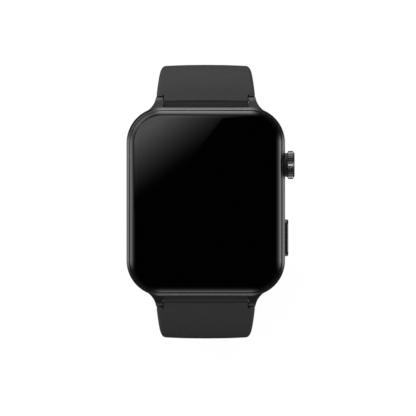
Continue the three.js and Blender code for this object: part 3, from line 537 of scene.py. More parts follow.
def makeCase():
    s, l = caseShape, lugShape
    case = makeCaseShell()
    first = makeLug()
    reach = l["innerX"] + 0.001
    pocket = rod("pocket", l["radius"] + l["pocketGap"], -reach, reach, l["barY"], l["barZ"], 96)
    for x, y in corners:
        lug = copyPiece(first, "lugCopy")
        turnPiece(lug, Matrix.Diagonal((x, y, 1, 1)))
        if x * y < 0:
            lug.data.flip_normals()
        combine(case, lug, "UNION")
    bpy.data.objects.remove(first, do_unlink=True)
    for y in (1, -1):
        cutter = copyPiece(pocket, "pocketCopy")
        turnPiece(cutter, Matrix.Rotation(0 if y > 0 else math.pi, 4, "Z"))
        cut(case, cutter)
        for x in (1, -1):
            near, far = sorted((x * l["pinFrom"], x * l["pinTo"]))
            cut(case, rod("pinHole", l["pinHole"], near, far, y * l["barY"], l["barZ"], 24))
    bpy.data.objects.remove(pocket, do_unlink=True)
    radius, floorX = crownShape["recess"]
    recess = rod("crownRecess", radius, floorX, s["outside"], crownShape["y"], crownShape["z"], 64)
    cut(case, recess)
    length, width, floorX = buttonShape["recess"]
    cut(case, makePill("buttonRecess", length, width, floorX, s["outside"]))
    cleanMesh(case)
    shadeSmooth(case, 32)
    dress(case, "caseMetal", "case", "frame_metal", "case_frame")
    case.data.materials.append(finishes["lugMetalPaintedShade"])  # the lugs are blasted matt, rougher than the polished case, and their darker colour is painted shade
    editMesh(case)
    pickFaces(case, lambda c, n: outsideCase(c, 0.03))
    case.active_material_index = 1
    bpy.ops.object.material_slot_assign()
    leaveEdit()


# crown and side button

crownShape = {
    "y": 8.66,
    "z": 5.6,
    "radius": 3.33,
    "inner": 19.2,
    "outer": 20.96,
    "caps": 0.36,
    "innerCap": 0.105,
    "teeth": 32,
    "toothDepth": 0.3,
    "toothGap": 0.045,
    "toothTip": 0.03,
    "flank": 0.07,
    "shoulder": (0.36, 0.24),
    # inward and along: the rim, a ring groove, then a shallow dish
    "face": [(0.3, level), (0.06, -0.06), (0.22, level), (0.06, 0.06), (0.5, 0.01), (0.6, 0.005)],
    "collar": 2.8,
    "collarEnd": 18.4,
    "tubeRoom": 1.9,
    "stemBore": 0.75,
    "recess": (3.0, 17.75),
}
buttonShape = {
    "y": -8.53,
    "z": 5.6,
    "length": 8.7,
    "width": 2.6,
    "ends": 0.48,
    "inner": 18.0,
    "outer": 19.49,
    "round": 0.42,
    "dish": [(0.3, -0.02), (0.25, -0.015)],
    "recess": (8.9, 2.8, 17.5),
}


def makePill(name, length, width, fromX, toX):
    # a pill-shaped bar along X at the side button
    s = buttonShape
    pill = slab(name, width, length, width * s["ends"], 14, 0, toX - fromX)
    faceOutwards()
    turnPiece(pill, placement(fromX, s["y"], s["z"], math.pi / 2, "Y"))
    return pill


def makeSideButton():
    s = buttonShape
    rise = s["outer"] - s["inner"] - s["round"]
    button = slab("sideButton", s["width"], s["length"], s["width"] * s["ends"], 14, 0, rise)
    pickFaces(button, lambda c, n: n.z > 0.9)
    growFace(quarterSteps(s["round"], s["round"], 6) + s["dish"], 1)
    faceOutwards()
    turnPiece(button, placement(s["inner"], s["y"], s["z"], math.pi / 2, "Y"))
    cleanMesh(button)
    shadeSmooth(button, 40)
    dress(button, "caseMetal", "side_button", "frame_metal", "side_button")


def makeCrown():
    s = crownShape
    base = s["radius"] - s["toothDepth"] - s["toothTip"]
    thickness = s["outer"] - s["inner"] - s["caps"]
    crown = disc("crownKnob", base, thickness, s["teeth"])
    turnPiece(crown, Matrix.Rotation(math.pi / s["teeth"], 4, "Z"))  # a tooth, not a groove, stands on top
    editMesh(crown)
    pickFaces(crown, lambda c, n: abs(n.z) < 0.1)
    for inward, outward in ((s["toothGap"], 0), (s["flank"], s["toothDepth"]), (0.035, s["toothTip"])):
        bpy.ops.mesh.inset(
            thickness=inward * mm, depth=outward * mm, use_individual=True, use_even_offset=True)
    pickFaces(crown, lambda c, n: n.z > 0.9 and c.xy.length < 0.5)
    growFace(quarterSteps(*s["shoulder"], 5) + s["face"], 1)
    pickFaces(crown, lambda c, n: n.z < -0.9 and c.xy.length < 0.5)
    growFace(quarterSteps(0.2, 0.1, 3) + [(0.5, 0.005)], -1)
    faceOutwards()
    middle = s["inner"] + s["innerCap"] + thickness / 2
    turnPiece(crown, placement(middle, s["y"], s["z"], math.pi / 2, "Y"))
    cleanMesh(crown)
    shadeSmooth(crown, 38)
    dress(crown, "crownMetal", "crown", "frame_metal", "crown_knob")
    collar = rod("crownCollar", s["collar"], s["collarEnd"], s["inner"] + 0.1, s["y"], s["z"], 64)
    softenEdges(collar, 0.12, 60, 3)
    cut(collar, rod("tubeRoom", s["tubeRoom"], 17, s["inner"], s["y"], s["z"], 48))
    cut(collar, rod("stemBore", s["stemBore"], 17, 22, s["y"], s["z"], 32))
    cleanMesh(collar)
    shadeSmooth(collar, 38)
    # the collar's near-black colour is partly its own dark finish and partly painted shade between the
    # crown and the case
    dress(collar, "collarMetalPaintedShade", "crown", "frame_metal")


# cover glass

glassShape = {"inset": 0.8, "bottom": 8.4, "shoulder": 9.1, "top": 10.6, "curve": 1.56}


def makeGlass():
    s, c = glassShape, caseShape
    width, length = c["width"] - 2 * s["inset"], c["length"] - 2 * s["inset"]
    rise = s["shoulder"] - s["bottom"]
    glass = slab("coverGlass", width, length, c["corner"] - s["inset"], 24, s["bottom"], rise)
    pickFaces(glass, lambda f, n: n.z > 0.9)
    growFace(quarterSteps(s["curve"], s["top"] - s["shoulder"], 20) + [(0.2, 0.0)], 1)
    faceOutwards()
    cleanMesh(glass, 0.0001)
    shadeSmooth(glass, 30)
    dress(glass, "coverGlass", "case", "cover_glass", "cover_glass")


makeCase()
print("case made")
makeCrown()
makeSideButton()
makeGlass()
print("crown, button and glass made")

# strap, modelled flat with Y along it and Z outwards, then curled onto its path

strapShape = {
    "heading": -35,
    "rootOuter": 2.0,
    "rootInner": -1.35,
    "half": 1.15,
    "width": 19.8,
    "shoulder": 23.2,
    "outerRound": 1.15,
    "innerRound": 0.45,
    "taper": (3, 14, 21, 24),
    "waist": 21.15,
    "crown": 0.4,
    "crownLines": 14,
    "barrel": 1.5,
    "neck": 10.08,
    "notch": 2.2,
    "seam": 0.17,
    "seamCore": 1.1,
    "soften": 0.13,
    "grooveTurn": 71.5,
    "grooveAt": 1.46,
    "grooveRadius": 0.5,
    "bore": 0.85,
    "knobSlot": ((5.6, -0.7, -3), (8.0, 0.7, 0)),
}
# each leg of a path: its length and the degrees that it turns
rootLegs = [(3.0, 0), (14.3 * math.radians(55), -55)]
shortLegs = rootLegs + [(30 * math.pi / 2, -90), (12.5, 0)]
longLegs = rootLegs + [(30.0, 0), (23 * math.pi / 2, -90), (20.4, 0), (80 * math.radians(10), -10)]


def pathAt(legs, s):
    # the point and heading at a length along the strap's middle
    y, z, heading = lugShape["barY"], lugShape["barZ"], math.radians(strapShape["heading"])
    left = s
    for index, (length, turn) in enumerate(legs):
        last = index == len(legs) - 1
        step = left if last else min(left, length)
        bend = math.radians(turn) / length
        if bend == 0 or step < 0:
            y, z = y + step * math.cos(heading), z + step * math.sin(heading)
        else:
            after = heading + bend * step
            y += (math.sin(after) - math.sin(heading)) / bend
            z -= (math.cos(after) - math.cos(heading)) / bend
            heading = after
        left -= step
        if left <= 0:
            break
    return y, z, heading


def placeAt(legs, s):
    y, z, heading = pathAt(legs, s)
    return placement(0, y, z, heading, "X")


def curl(piece, legs):
    for vert in piece.data.vertices:
        x, s, offset = vert.co / mm
        y, z, heading = pathAt(legs, s)
        vert.co = Vector((x, y - offset * math.sin(heading), z + offset * math.cos(heading))) * mm
    piece.data.update()


def makeFlatStrap(name, length):
    s = strapShape
    thick = s["rootOuter"] - s["rootInner"]
    middle = (s["rootOuter"] + s["rootInner"]) / 2
    deselectAll()
    bpy.ops.mesh.primitive_plane_add(size=mm, location=(0, 0, middle * mm), rotation=(math.pi / 2, 0, 0))
    strap = newPiece(name, (s["shoulder"], thick, 1))
    editMesh(strap)
    pickVerts(strap, lambda v: v.z > middle)
    bpy.ops.mesh.bevel(offset=s["outerRound"] * mm, segments=7, affect="VERTICES", clamp_overlap=False)
    pickVerts(strap, lambda v: v.z < middle - thick * 0.4)
    bpy.ops.mesh.bevel(offset=s["innerRound"] * mm, segments=4, affect="VERTICES", clamp_overlap=False)
    pickEdges(strap, lambda a, b: min(a.z, b.z) > s["rootOuter"] - 0.001 and abs(a.x - b.x) > 5)
    lines = s["crownLines"]
    bpy.ops.mesh.subdivide(number_cuts=lines - 1)
    reach = s["shoulder"] / 2
    for share in [i / lines for i in range(lines)]:
        # lowers the outer face towards its sides, a little more at each line
        drop = s["crown"] * ((share + 1 / lines) ** 2 - share ** 2)
        pickVerts(strap, lambda v: v.z > middle and abs(v.x) > (share + 0.5 / lines) * reach)
        bpy.ops.transform.translate(value=(0, 0, -drop * mm))
    selectAll()
    bpy.ops.mesh.select_mode(type="FACE")
    rootEnd, waistAt, taperEnd, evenFrom = s["taper"]
    now = {"s": 0.0, "width": s["shoulder"], "outer": s["rootOuter"], "inner": s["rootInner"]}
    for at, width, outer, inner, cuts in (
            (rootEnd, s["shoulder"], s["rootOuter"], s["rootInner"], 2),
            (waistAt, s["waist"], s["half"], -s["half"], 10),
            (taperEnd, s["width"] + 0.1, s["half"], -s["half"], 6),
            (evenFrom, s["width"], s["half"], -s["half"], 2),
            (length, s["width"], s["half"], -s["half"], int(length - evenFrom))):
        bpy.ops.mesh.extrude_region_move(TRANSFORM_OT_translate={"value": (0, (at - now["s"]) * mm, 0)})
        oldMiddle = (now["outer"] + now["inner"]) / 2
        bpy.ops.transform.resize(
            value=(width / now["width"], 1, (outer - inner) / (now["outer"] - now["inner"])),
            center_override=(0, at * mm, oldMiddle * mm))
        bpy.ops.transform.translate(value=(0, 0, ((outer + inner) / 2 - oldMiddle) * mm))
        start = now["s"]
        now = {"s": at, "width": width, "outer": outer, "inner": inner}
        added = at - start
        pickEdges(strap, lambda a, b: abs(abs(a.y - b.y) - added) < 0.01 and min(a.y, b.y) > start - 0.01)
        bpy.ops.mesh.subdivide(number_cuts=cuts)
        pickFaces(strap, lambda c, n: abs(c.y - at) < 0.01 and abs(n.y) > 0.9)
    faceOutwards()
    return strap


def shapeRoot(strap):
    # the barrel on the spring bar, the room for the lug ends, the groove behind the barrel,
    # the seams beside the lugs, the bore and the knob's slot
    s = strapShape
    barrel = rod("barrel", s["barrel"], -s["neck"] - 0.4, s["neck"] + 0.4, 0, 0, 72)
    combine(strap, barrel, "UNION")
    for side in (1, -1):
        near, far = sorted((side * s["neck"], side * 16))
        cut(strap, rod("lugRoom", s["notch"], near, far, 0, 0, 96))
    turn = math.radians(s["grooveTurn"] - s["heading"])
    grooveY, grooveZ = s["grooveAt"] * math.cos(turn), s["grooveAt"] * math.sin(turn)
    cut(strap, rod("groove", s["grooveRadius"], -12.5, 12.5, grooveY, grooveZ, 40))
    softenEdges(strap, s["soften"], 42, 3)
    for side in (1, -1):  # a fine dark seam between the barrel and each lug
        near, far = sorted((side * (s["neck"] - s["seam"]), side * (s["neck"] + 0.2)))
        seam = rod("seam", s["notch"] + 0.3, near, far, 0, 0, 96)
        cut(seam, rod("seamCore", s["seamCore"], near - 1, far + 1, 0, 0, 72))
        cut(strap, seam)
    cut(strap, rod("bore", s["bore"], -16, 16, 0, 0, 40))
    slot = block("knobSlot", *s["knobSlot"])
    roundEdges(slot, lambda a, b: abs(a.z - b.z) > 1, 0.6, 6)
    cut(strap, slot)


keeperShape = {
    "room": 10.15,
    "wall": 1.15,
    "tail": 2.8,
    "width": 4.5,
    "round": 1.1,
    "mouldedFromEnd": 9.5,
    "freeFromEnd": 21,
    "freeGap": 0.25,
}


def keeperArch(name, low, width):
    # a loop round the strap: a rounded frame in XZ, pulled out to its width along Y
    k = keeperShape
    halfOuter = k["room"] + k["wall"]
    top = strapShape["half"] + k["tail"] + k["wall"]
    loop = roundedSheet(name, 2 * halfOuter, top - low, k["round"], 6)
    bpy.ops.mesh.inset(thickness=k["wall"] * mm, use_even_offset=True)
    bpy.ops.mesh.delete(type="FACE")
    selectAll()
    pull(width)
    faceOutwards()
    turnPiece(loop, placement(0, width / 2, (top + low) / 2, math.pi / 2, "X"))
    return loop


def legsLength(legs):
    return sum(leg[0] for leg in legs)


def makeShortStrap():
    legs = shortLegs
    length = legsLength(legs)
    k = keeperShape
    strap = makeFlatStrap("strapShort", length)
    combine(strap, rod("endBarrel", 1.35, -9.9, 9.9, length, 0, 48), "UNION")
    arch = keeperArch("mouldedKeeper", -0.75, k["width"])
    turnPiece(arch, placement(0, length - k["mouldedFromEnd"], 0))
    combine(strap, arch, "UNION")
    slot = block("tangSlot", (-1.6, length - 3.2, -3), (1.6, length + 3, 3))
    roundEdges(slot, lambda a, b: abs(a.z - b.z) > 1 and a.y < length, 0.7, 5)
    cut(strap, slot)
    cut(strap, rod("pinBore", 0.7, -16, 16, length, 0, 32))
    shapeRoot(strap)
    cleanMesh(strap, 0.0001)
    curl(strap, legs)
    shadeSmooth(strap, 38)
    dress(strap, "silicone", "upper_strap", "silicone", "strap_short")


holeShape = {"radius": 1.15, "pitch": 6.5, "count": 8, "fromTip": 14, "rim": 0.28}
tipShape = {"halfWidth": 9.93, "length": 8.0}


def makeLongStrap():
    legs = longLegs
    length = legsLength(legs)
    strap = makeFlatStrap("strapLong", length)
    h = holeShape
    for i in range(h["count"]):
        holeY = length - h["fromTip"] - i * h["pitch"]
        depth = 2 * strapShape["half"] - 2 * h["rim"] - 0.05
        punch = disc("punch", h["radius"], depth, 40, (0, holeY, 0))
        editMesh(punch)
        for side in (1, -1):  # the hole opens out at both faces
            pickFaces(punch, lambda c, n: n.z * side > 0.9)
            radius = h["radius"]
            for outward, rise in quarterSteps(h["rim"], h["rim"], 4):
                wider = (radius + outward) / radius
                radius += outward
                pull(side * rise)
                bpy.ops.transform.resize(value=(wider, wider, 1), center_override=(0, holeY * mm, 0))
            pull(side * 0.6)
        leaveEdit()
        cut(strap, punch)
    # rounds the tip off in plan
    tipY = length - tipShape["length"]
    tip = disc("tipPlan", 1, 20, 96, (0, tipY, 0), (tipShape["halfWidth"], tipShape["length"], 1))
    combine(tip, block("restPlan", (-14, -6, -10), (14, tipY, 10)), "UNION")
    combine(strap, tip, "INTERSECT")
    shapeRoot(strap)
    cleanMesh(strap, 0.0001)
    curl(strap, legs)
    turnPiece(strap, Matrix.Rotation(math.pi, 4, "Z"))
    shadeSmooth(strap, 38)
    dress(strap, "silicone", "lower_strap", "silicone", "strap_long")


def makeFreeKeeper():
    k = keeperShape
    legs = shortLegs
    low = -strapShape["half"] - k["freeGap"] - k["wall"]
    keeper = keeperArch("freeKeeper", low, k["width"])
    softenEdges(keeper, 0.3, 50, 4)
    turnPiece(keeper, placeAt(legs, legsLength(legs) - k["freeFromEnd"]))
    shadeSmooth(keeper, 40)
    dress(keeper, "silicone", "keeper", "silicone", "free_keeper")


makeShortStrap()
print("short strap half made")
makeLongStrap()
print("long strap half made")
makeFreeKeeper()

# buckle, drawn with Y away from the strap's end and Z outwards

buckleShape = {
    "inner": 10.15,
    "wall": 1.55,
    "thick": 1.8,
    "round": 1.6,
    "window": 7.4,
    "front": 2.2,
    "back": 1.4,
    "notch": 0.4,
    "notchHalf": 1.35,
    "pin": 0.65,
}
tangShape = {"width": 2.4, "thick": 0.8, "eye": 1.15, "bore": 0.68, "over": 0.4, "floor": 0.55}


def buckleMatrix():
    legs = shortLegs
    return placeAt(legs, legsLength(legs))


def makeBuckle():
    s = buckleShape
    tipY = s["window"] + s["front"]
    outerX = s["inner"] + s["wall"]
    half = s["thick"] / 2
    buckle = slab("buckleFrame", 2 * outerX, tipY + s["back"], s["round"], 8, -half, s["thick"])
    faceOutwards()
    turnPiece(buckle, placement(0, (tipY - s["back"]) / 2, 0))
    window = block("window", (-s["inner"], -s["back"] - 2, -3), (s["inner"], s["window"], 3))
    roundEdges(window, lambda a, b: abs(a.z - b.z) > 1 and a.y > 0, 0.5, 5)
    cut(buckle, window)
    cleanMesh(buckle)
    softenEdges(buckle, 0.38, 50, 4)
    notch = block("notch", (-s["notchHalf"], 2, half - s["notch"]), (s["notchHalf"], tipY + 2, 3))
    cut(buckle, notch)
    cut(buckle, rod("pinHole", s["pin"], -outerX - 1, outerX + 1, 0, 0, 40))
    cleanMesh(buckle)
    turnPiece(buckle, buckleMatrix())
    shadeSmooth(buckle, 35)
    dress(buckle, "buckleMetal", "buckle", "buckle_metal", "buckle_frame")


def makeTang():
    s = tangShape
    reach = buckleShape["window"] + buckleShape["front"] + s["over"]
    half = s["width"] / 2
    tang = block("buckleTang", (-half, 0, s["floor"]), (half, reach, s["floor"] + s["thick"]))
    roundEdges(tang, lambda a, b: abs(a.z - b.z) > 0.5 and a.y > 5, 0.75, 6)
    combine(tang, rod("eye", s["eye"], -half, half, 0, 0, 48), "UNION")
    cleanMesh(tang)
    softenEdges(tang, 0.16, 50, 3)
    cut(tang, rod("eyeBore", s["bore"], -3, 3, 0, 0, 32))
    cleanMesh(tang)
    turnPiece(tang, buckleMatrix())
    shadeSmooth(tang, 35)
    dress(tang, "buckleMetal", "tang", "buckle_metal", "buckle_tang")


makeBuckle()
makeTang()
print("buckle made")

# case back

backShape = {
    "inset": 3.0,
    "outer": 1.2,
    "inner": 2.6,
    "chamfer": 0.5,
    "domeTop": 11.6,
    "domeFoot": 13.0,
    "domeZ": 0.35,
    "domeRoot": 0.3,
    "lens": 10.0,
    "lensGap": 0.1,
    "lensSeat": 0.9,
    "lensThick": 0.85,
    "lensRound": (0.45, 0.2),
}
contactShape = {
    "x": 2.0,
    "y": 16.25,
    "z": 2.175,
    "radius": 0.9,
    "hole": 0.95,
    "length": 1.85,
    "dome": (0.22, 0.15),
}
screwShape = {
    "x": 11.9,
    "y": 15.45,
    "z": 1.54,
    "radius": 1,
    "seat": 1.1,
    "height": 0.42,
    "edge": (0.12, 0.08),
}
sensorWindows = (
    # name, x, width, length and finish
    ("windowCentre", 0, 2.8, 3.2, "chipPackage"),
    ("windowLeft", -3.4, 1.8, 2.4, "ledPackage"),
    ("windowRight", 3.4, 1.8, 2.4, "ledPackage"),
)


def makeBackCover():
    s, c = backShape, caseShape
    width, length = c["width"] - 2 * s["inset"], c["length"] - 2 * s["inset"]
    drop = -(s["inner"] - s["outer"] - s["chamfer"])
    cover = slab("backCover", width, length, c["corner"] - s["inset"], 16, s["inner"], drop)
    pickFaces(cover, lambda f, n: f.z < s["outer"] + s["chamfer"] + 0.01 and abs(n.z) > 0.9)
    growFace(quarterSteps(s["chamfer"], s["chamfer"], 5), -1)
    faceOutwards()
    deselectAll()
    low, high = s["domeZ"], s["outer"] + s["domeRoot"]
    bpy.ops.mesh.primitive_cone_add(
        vertices=128, radius1=s["domeTop"] * mm, radius2=(s["domeFoot"] + s["domeRoot"]) * mm,
        depth=(high - low) * mm, location=(0, 0, (high + low) / 2 * mm))
    dome = newPiece("backDome")
    softenEdges(dome, 0.5, 20, 5)
    combine(cover, dome, "UNION")
    seat = disc("lensSeat", s["lens"] + s["lensGap"], 4, 128, (0, 0, s["lensSeat"] - 2))
    cut(cover, seat)
    for side in (-1, 1):
        place = (side * contactShape["x"], contactShape["y"], 2)
        cut(cover, disc("contactHole", contactShape["hole"], 6, 48, place))
    for x, y in corners:
        place = (x * screwShape["x"], y * screwShape["y"], 0.82)
        cut(cover, disc("screwSeat", screwShape["seat"], 2, 48, place))
    cleanMesh(cover)
    shadeSmooth(cover, 30)
    dress(cover, "backPlastic", "case", "cover_plastic", "back_cover")


def makeLens():
    s = backShape
    inward, height = s["lensRound"]
    place = (0, 0, (s["lensThick"] + height) / 2)
    lens = disc("sensorLens", s["lens"], s["lensThick"] - height, 128, place)
    editMesh(lens)
    pickFaces(lens, lambda f, n: n.z < -0.9)
    growFace(quarterSteps(inward, height, 6), -1)
    growFace([(4.2, 0.0), (0.12, -0.03), (0.12, 0.0)], -1)  # a fine moulded ring round the sensor windows
    leaveEdit()
    cleanMesh(lens)
    shadeSmooth(lens, 30)
    dress(lens, "sensorGloss", "case", "lens_gloss", "sensor_lens")
    for name, x, width, length, finish in sensorWindows:
        window = slab(name, width, length, 0.5, 6, 0.012, 0.1)
        faceOutwards()
        turnPiece(window, placement(x, 0, 0))
        shadeSmooth(window, 30)
        dress(window, finish, "case", "sensor" if finish == "chipPackage" else "led")


def makeScrews():
    s = screwShape
    first = disc("screwHead", s["radius"], s["height"], 48, (0, 0, s["z"]))
    editMesh(first)
    pickFaces(first, lambda f, n: n.z < -0.9)
    growFace(quarterSteps(*s["edge"], 3), -1)
    leaveEdit()
    for turn in (0, 60, 120):  # a six-pointed socket from three crossed slots
        slot = block("socket", (-0.52, -0.14, 1), (0.52, 0.14, 1.55))
        turnPiece(slot, Matrix.Rotation(math.radians(turn), 4, "Z"))
        cut(first, slot)
    cleanMesh(first)
    for index, (x, y) in enumerate(corners):
        head = copyPiece(first, "screwHead%d" % (index + 1))
        turnPiece(head, placement(x * s["x"], y * s["y"], 0, 0.7 * index))
        shadeSmooth(head, 30)
        dress(head, "brightSteel", "case", "steel", "back_screw_%d" % (index + 1))
    bpy.data.objects.remove(first, do_unlink=True)


def makeContacts():
    s = contactShape
    for name, side in (("Left", -1), ("Right", 1)):
        contact = disc("chargeContact" + name, s["radius"], s["length"], 48, (0, 0, s["z"]))
        editMesh(contact)
        pickFaces(contact, lambda f, n: n.z < -0.9)
        growFace(quarterSteps(*s["dome"], 5), -1)
        leaveEdit()
        turnPiece(contact, placement(side * s["x"], s["y"], 0))
        cleanMesh(contact)
        shadeSmooth(contact, 30)
        dress(contact, "goldPlate", "case", "gold", "charge_contact_" + name.lower())


makeBackCover()
makeLens()
makeScrews()
makeContacts()
print("case back made")

# finishes for the solids that stay

keptFinishes = {
    "glass_adhesive": "tapeFoam", "display_panel": "screenGlass", "display_flex": "ribbonFilm",
    "inner_chassis": "innerPlastic", "main_board": "boardMask", "shield_can": "brightSteel",
    "vibration_motor": "brightSteel", "battery": "cellFoil", "back_seal": "sealRubber",
    "sensor_board": "boardMask", "green_led_left": "ledPackage", "green_led_right": "ledPackage",
    "photodiode": "chipPackage", "charge_magnet_left": "nickelPlate", "charge_magnet_right": "nickelPlate",
    "crown_tube": "brightSteel", "crown_stem": "brightSteel", "crown_seal": "sealRubber",
    "crown_clip": "brightSteel", "crown_plunger": "innerPlastic", "crown_switch": "innerPlastic",
    "button_seal": "sealRubber", "button_clip": "brightSteel", "button_plunger": "innerPlastic",
    "button_switch": "innerPlastic", "buckle_pin": "brightSteel",
}
# the spring bars in both straps take the darkened steel, which paints the shade in the gaps where they
# show
for side in ("upper", "lower"):
    for part in ("bar_tube", "fixed_pin", "release_pin", "bar_spring"):
        keptFinishes[side + "_" + part] = "barSteelPaintedShade"
for nodeName, finish in keptFinishes.items():
    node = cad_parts[nodeName]
    node.data.materials.clear()
    node.data.materials.append(finishes[finish])
    shadeSmooth(node, 35, evenOut=False)
print("kept solids dressed:", len(keptFinishes))

# stage, light and camera

stage = {
    "floorDrop": 0.02,
    "floorDark": (0.045, 0.045, 0.045),
    "floorLight": (0.055, 0.055, 0.055),
    "floorGlow": 0.945,
    "cameraHeight": 2500,
    "field": 98.4,
    "sensor": 36,
    "aim": (0.525, -1.5),
}


def makeFloor():
    deselectAll()
    bpy.ops.mesh.primitive_plane_add(size=8, location=(0, 0, cadLow.z - stage["floorDrop"] * mm))
    floor = newPiece("floor")
    material, tree, shader = newMaterial("paleFloor")
    rampTo(tree, noiseAt(tree, 6, 4), shader.inputs["Base Color"], stage["floorDark"], stage["floorLight"])
    shader.inputs["Roughness"].default_value = 0.7
    shader.inputs["Emission Color"].default_value = (1, 1, 1, 1)
    shader.inputs["Emission Strength"].default_value = stage["floorGlow"]
    side = tree.nodes.new("ShaderNodeNewGeometry")
    clear = tree.nodes.new("ShaderNodeBsdfTransparent")
    mix = tree.nodes.new("ShaderNodeMixShader")  # from below one looks through it
    tree.links.new(side.outputs["Backfacing"], mix.inputs["Fac"])
    tree.links.new(shader.outputs["BSDF"], mix.inputs[1])
    tree.links.new(clear.outputs["BSDF"], mix.inputs[2])
    tree.links.new(mix.outputs["Shader"], tree.nodes["Material Output"].inputs["Surface"])
    floor.data.materials.append(material)
    floor.visible_diffuse = False
    floor.visible_glossy = False


worldShape = {
    # height of the direction, from straight down to straight up, and its brightness
    "profile": ((-1.0, 0.02), (-0.9, 0.09), (-0.7, 0.72), (-0.37, 1.35), (0.07, 0.80),
                (0.40, 0.44), (0.53, 0.19), (0.707, 0.10), (0.9, 0.04), (0.985, 0.0)),
    "narrow": 60,
    "base": 0.05,
    # each strip's axis and side, its brightness, and how much brighter it gets towards its top
    "strips": (("x", -1, 1.75, 0.35), ("x", 1, 2.9, 0.8), ("y", -1, 1.1, 0.35), ("y", 1, 3.5, 0.8)),
    "corner": 2.0,
    "cornerNarrow": 5,
    "cornerLow": -0.45,
    "cornerHigh": 0.62,
    "backdrop": 1.0,
}


def mathNode(tree, operation, first, second=None):
    node = tree.nodes.new("ShaderNodeMath")
    node.operation = operation
    for socket, value in zip(node.inputs, (first, second)):
        if value is None:
            continue
        if isinstance(value, (int, float)):
            socket.default_value = value
        else:
            tree.links.new(value, socket)
    return node.outputs["Value"]


def makeWorld():
    # four strip lights standing round the watch, a wider one behind its left corner, and darkness overhead
    s = worldShape
    world = bpy.data.worlds.new("studio")
    bpy.context.scene.world = world
    world.use_nodes = True
    tree = world.node_tree

    def calc(operation, first, second=None):
        return mathNode(tree, operation, first, second)

    background = tree.nodes["Background"]
    place = tree.nodes.new("ShaderNodeTexCoord")
    split = tree.nodes.new("ShaderNodeSeparateXYZ")
    tree.links.new(place.outputs["Generated"], split.inputs["Vector"])
    x, y, z = split.outputs["X"], split.outputs["Y"], split.outputs["Z"]
    ramp = tree.nodes.new("ShaderNodeValToRGB")
    tree.links.new(calc("MULTIPLY", calc("ADD", z, 1), 0.5), ramp.inputs["Fac"])
    while len(ramp.color_ramp.elements) < len(s["profile"]):
        ramp.color_ramp.elements.new(0.5)
    for element, (height, value) in zip(ramp.color_ramp.elements, s["profile"]):
        element.position = height / 2 + 0.5
        element.color = (value, value, value, 1)
    flat = calc("SQRT", calc("ADD", calc("MULTIPLY", x, x), calc("MULTIPLY", y, y)))
    total = s["base"]
    for axis, sign, bright, lean in s["strips"]:
        part = x if axis == "x" else y
        facing = calc("MAXIMUM", calc("DIVIDE", calc("MULTIPLY", part, sign), flat), 0.0)
        height = calc("ADD", calc("MULTIPLY", z, bright * lean), bright)
        strip = calc("MULTIPLY", calc("POWER", facing, s["narrow"]), height)
        total = calc("ADD", strip, total)
    corner = calc("DIVIDE", calc("MULTIPLY", calc("SUBTRACT", y, x), math.sqrt(0.5)), flat)
    corner = calc("MULTIPLY", calc("POWER", calc("MAXIMUM", corner, 0.0), s["cornerNarrow"]), s["corner"])
    corner = calc("MULTIPLY", corner, calc("GREATER_THAN", z, s["cornerLow"]))
    corner = calc("MULTIPLY", corner, calc("LESS_THAN", z, s["cornerHigh"]))
    glow = calc("ADD", corner, calc("MULTIPLY", total, ramp.outputs["Color"]))
    seen = tree.nodes.new("ShaderNodeLightPath")
    mix = tree.nodes.new("ShaderNodeMix")  # the camera sees a plain pale backdrop
    mix.data_type = "FLOAT"
    tree.links.new(seen.outputs["Is Camera Ray"], mix.inputs[0])
    tree.links.new(glow, mix.inputs[2])
    mix.inputs[3].default_value = s["backdrop"]
    tree.links.new(mix.outputs[0], background.inputs["Strength"])
    background.inputs["Color"].default_value = (1, 1, 1, 1)


def areaLight(name, place, target, width, height, watts):
    bpy.ops.object.light_add(type="AREA", location=[v * mm for v in place])
    light = bpy.context.object
    light.name = name
    light.data.shape = "RECTANGLE"
    light.data.size = width * mm
    light.data.size_y = height * mm
    light.data.energy = watts
    direction = (Vector(target) - Vector(place)) * mm
    light.rotation_euler = direction.to_track_quat("-Z", "Y").to_euler()
    light.visible_camera = False
    light.visible_glossy = False
    return light


def keepToCrown(light):
    # the flat glass faces the ceiling, which stays dark in it
    receivers = bpy.data.collections.new(light.name + "Receivers")
    receivers.objects.link(bpy.data.objects["crownKnob"])
    light.light_linking.receiver_collection = receivers


cardShape = {
    "height": 160,
    "low": (-130, -2),
    "high": (80, 110),
    "flatCorner": (-18, 23),
    "edgePoint": (3.78, 20.56),
    "edgeNormal": (0.8, -0.6),
    "gradient": (-0.6, 0.8),
    "dark": 9.95,
    "full": 23.4,
    "glow": 1.76,
}


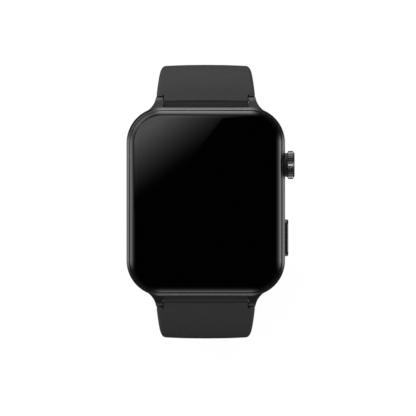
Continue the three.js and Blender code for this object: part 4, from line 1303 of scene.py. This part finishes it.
def makeGlassCard():
    # the softbox that the glass shows: it ends in a straight edge and fades towards the middle of the dial
    s = cardShape
    middle = [(a + b) / 2 * mm for a, b in zip(s["low"], s["high"])]
    size = [b - a for a, b in zip(s["low"], s["high"])]
    deselectAll()
    bpy.ops.mesh.primitive_plane_add(size=mm, location=(*middle, s["height"] * mm))
    card = newPiece("glassCard", (*size, 1))
    editMesh(card)
    selectAll()
    bpy.ops.mesh.bisect(plane_co=(s["edgePoint"][0] * mm, s["edgePoint"][1] * mm, s["height"] * mm),
                        plane_no=(*s["edgeNormal"], 0), clear_outer=True)
    leaveEdit()
    material, tree = newMaterial("cardGlow")[:2]
    tree.nodes.clear()
    place = tree.nodes.new("ShaderNodeTexCoord")
    split = tree.nodes.new("ShaderNodeSeparateXYZ")
    tree.links.new(place.outputs["Object"], split.inputs["Vector"])
    across = mathNode(tree, "MAXIMUM", split.outputs["X"], s["flatCorner"][0] * mm)
    up = mathNode(tree, "MINIMUM", split.outputs["Y"], s["flatCorner"][1] * mm)
    across = mathNode(tree, "MULTIPLY", across, s["gradient"][0])
    up = mathNode(tree, "MULTIPLY", up, s["gradient"][1])
    rise = mathNode(tree, "ADD", across, up)
    span = tree.nodes.new("ShaderNodeMapRange")
    span.inputs["From Min"].default_value = s["dark"] * mm
    span.inputs["From Max"].default_value = s["full"] * mm
    tree.links.new(rise, span.inputs["Value"])
    strength = mathNode(tree, "MULTIPLY", mathNode(tree, "POWER", span.outputs["Result"], 2.0), s["glow"])
    glow = tree.nodes.new("ShaderNodeEmission")
    out = tree.nodes.new("ShaderNodeOutputMaterial")
    tree.links.new(strength, glow.inputs["Strength"])
    tree.links.new(glow.outputs["Emission"], out.inputs["Surface"])
    card.data.materials.append(material)
    card.visible_camera = False
    card.visible_diffuse = False
    card.visible_shadow = False
    card.visible_transmission = False


def makeCamera():
    height, field = stage["cameraHeight"], stage["field"]
    bpy.ops.object.camera_add(location=(stage["aim"][0] * mm, stage["aim"][1] * mm, height * mm))
    camera = bpy.context.object
    camera.data.sensor_width = stage["sensor"]
    camera.data.lens = stage["sensor"] * height / field
    camera.data.clip_start = 0.1
    camera.data.clip_end = 20
    bpy.context.scene.camera = camera


makeFloor()
makeWorld()
areaLight("overheadSoftbox", (0, -30, 900), (0, 0, 0), 620, 620, 7.0)
for name, place, watts in (
        ("fillLeft", (-1300, 120, 160), 14),
        ("fillRight", (1300, 120, 160), 14),
        ("fillBehind", (0, 1300, 60), 6),
        ("fillFront", (0, -1300, 60), 2.5)):
    areaLight(name, place, (0, 0, -20), 700, 500, watts)
crownLight = areaLight("crownLight", (20, 30, 500), (20, 8, 6), 260, 260, 2.6)
crownLight.visible_glossy = True
keepToCrown(crownLight)
makeGlassCard()
makeCamera()
bpy.context.scene.view_settings.view_transform = "Standard"
print("stage made")
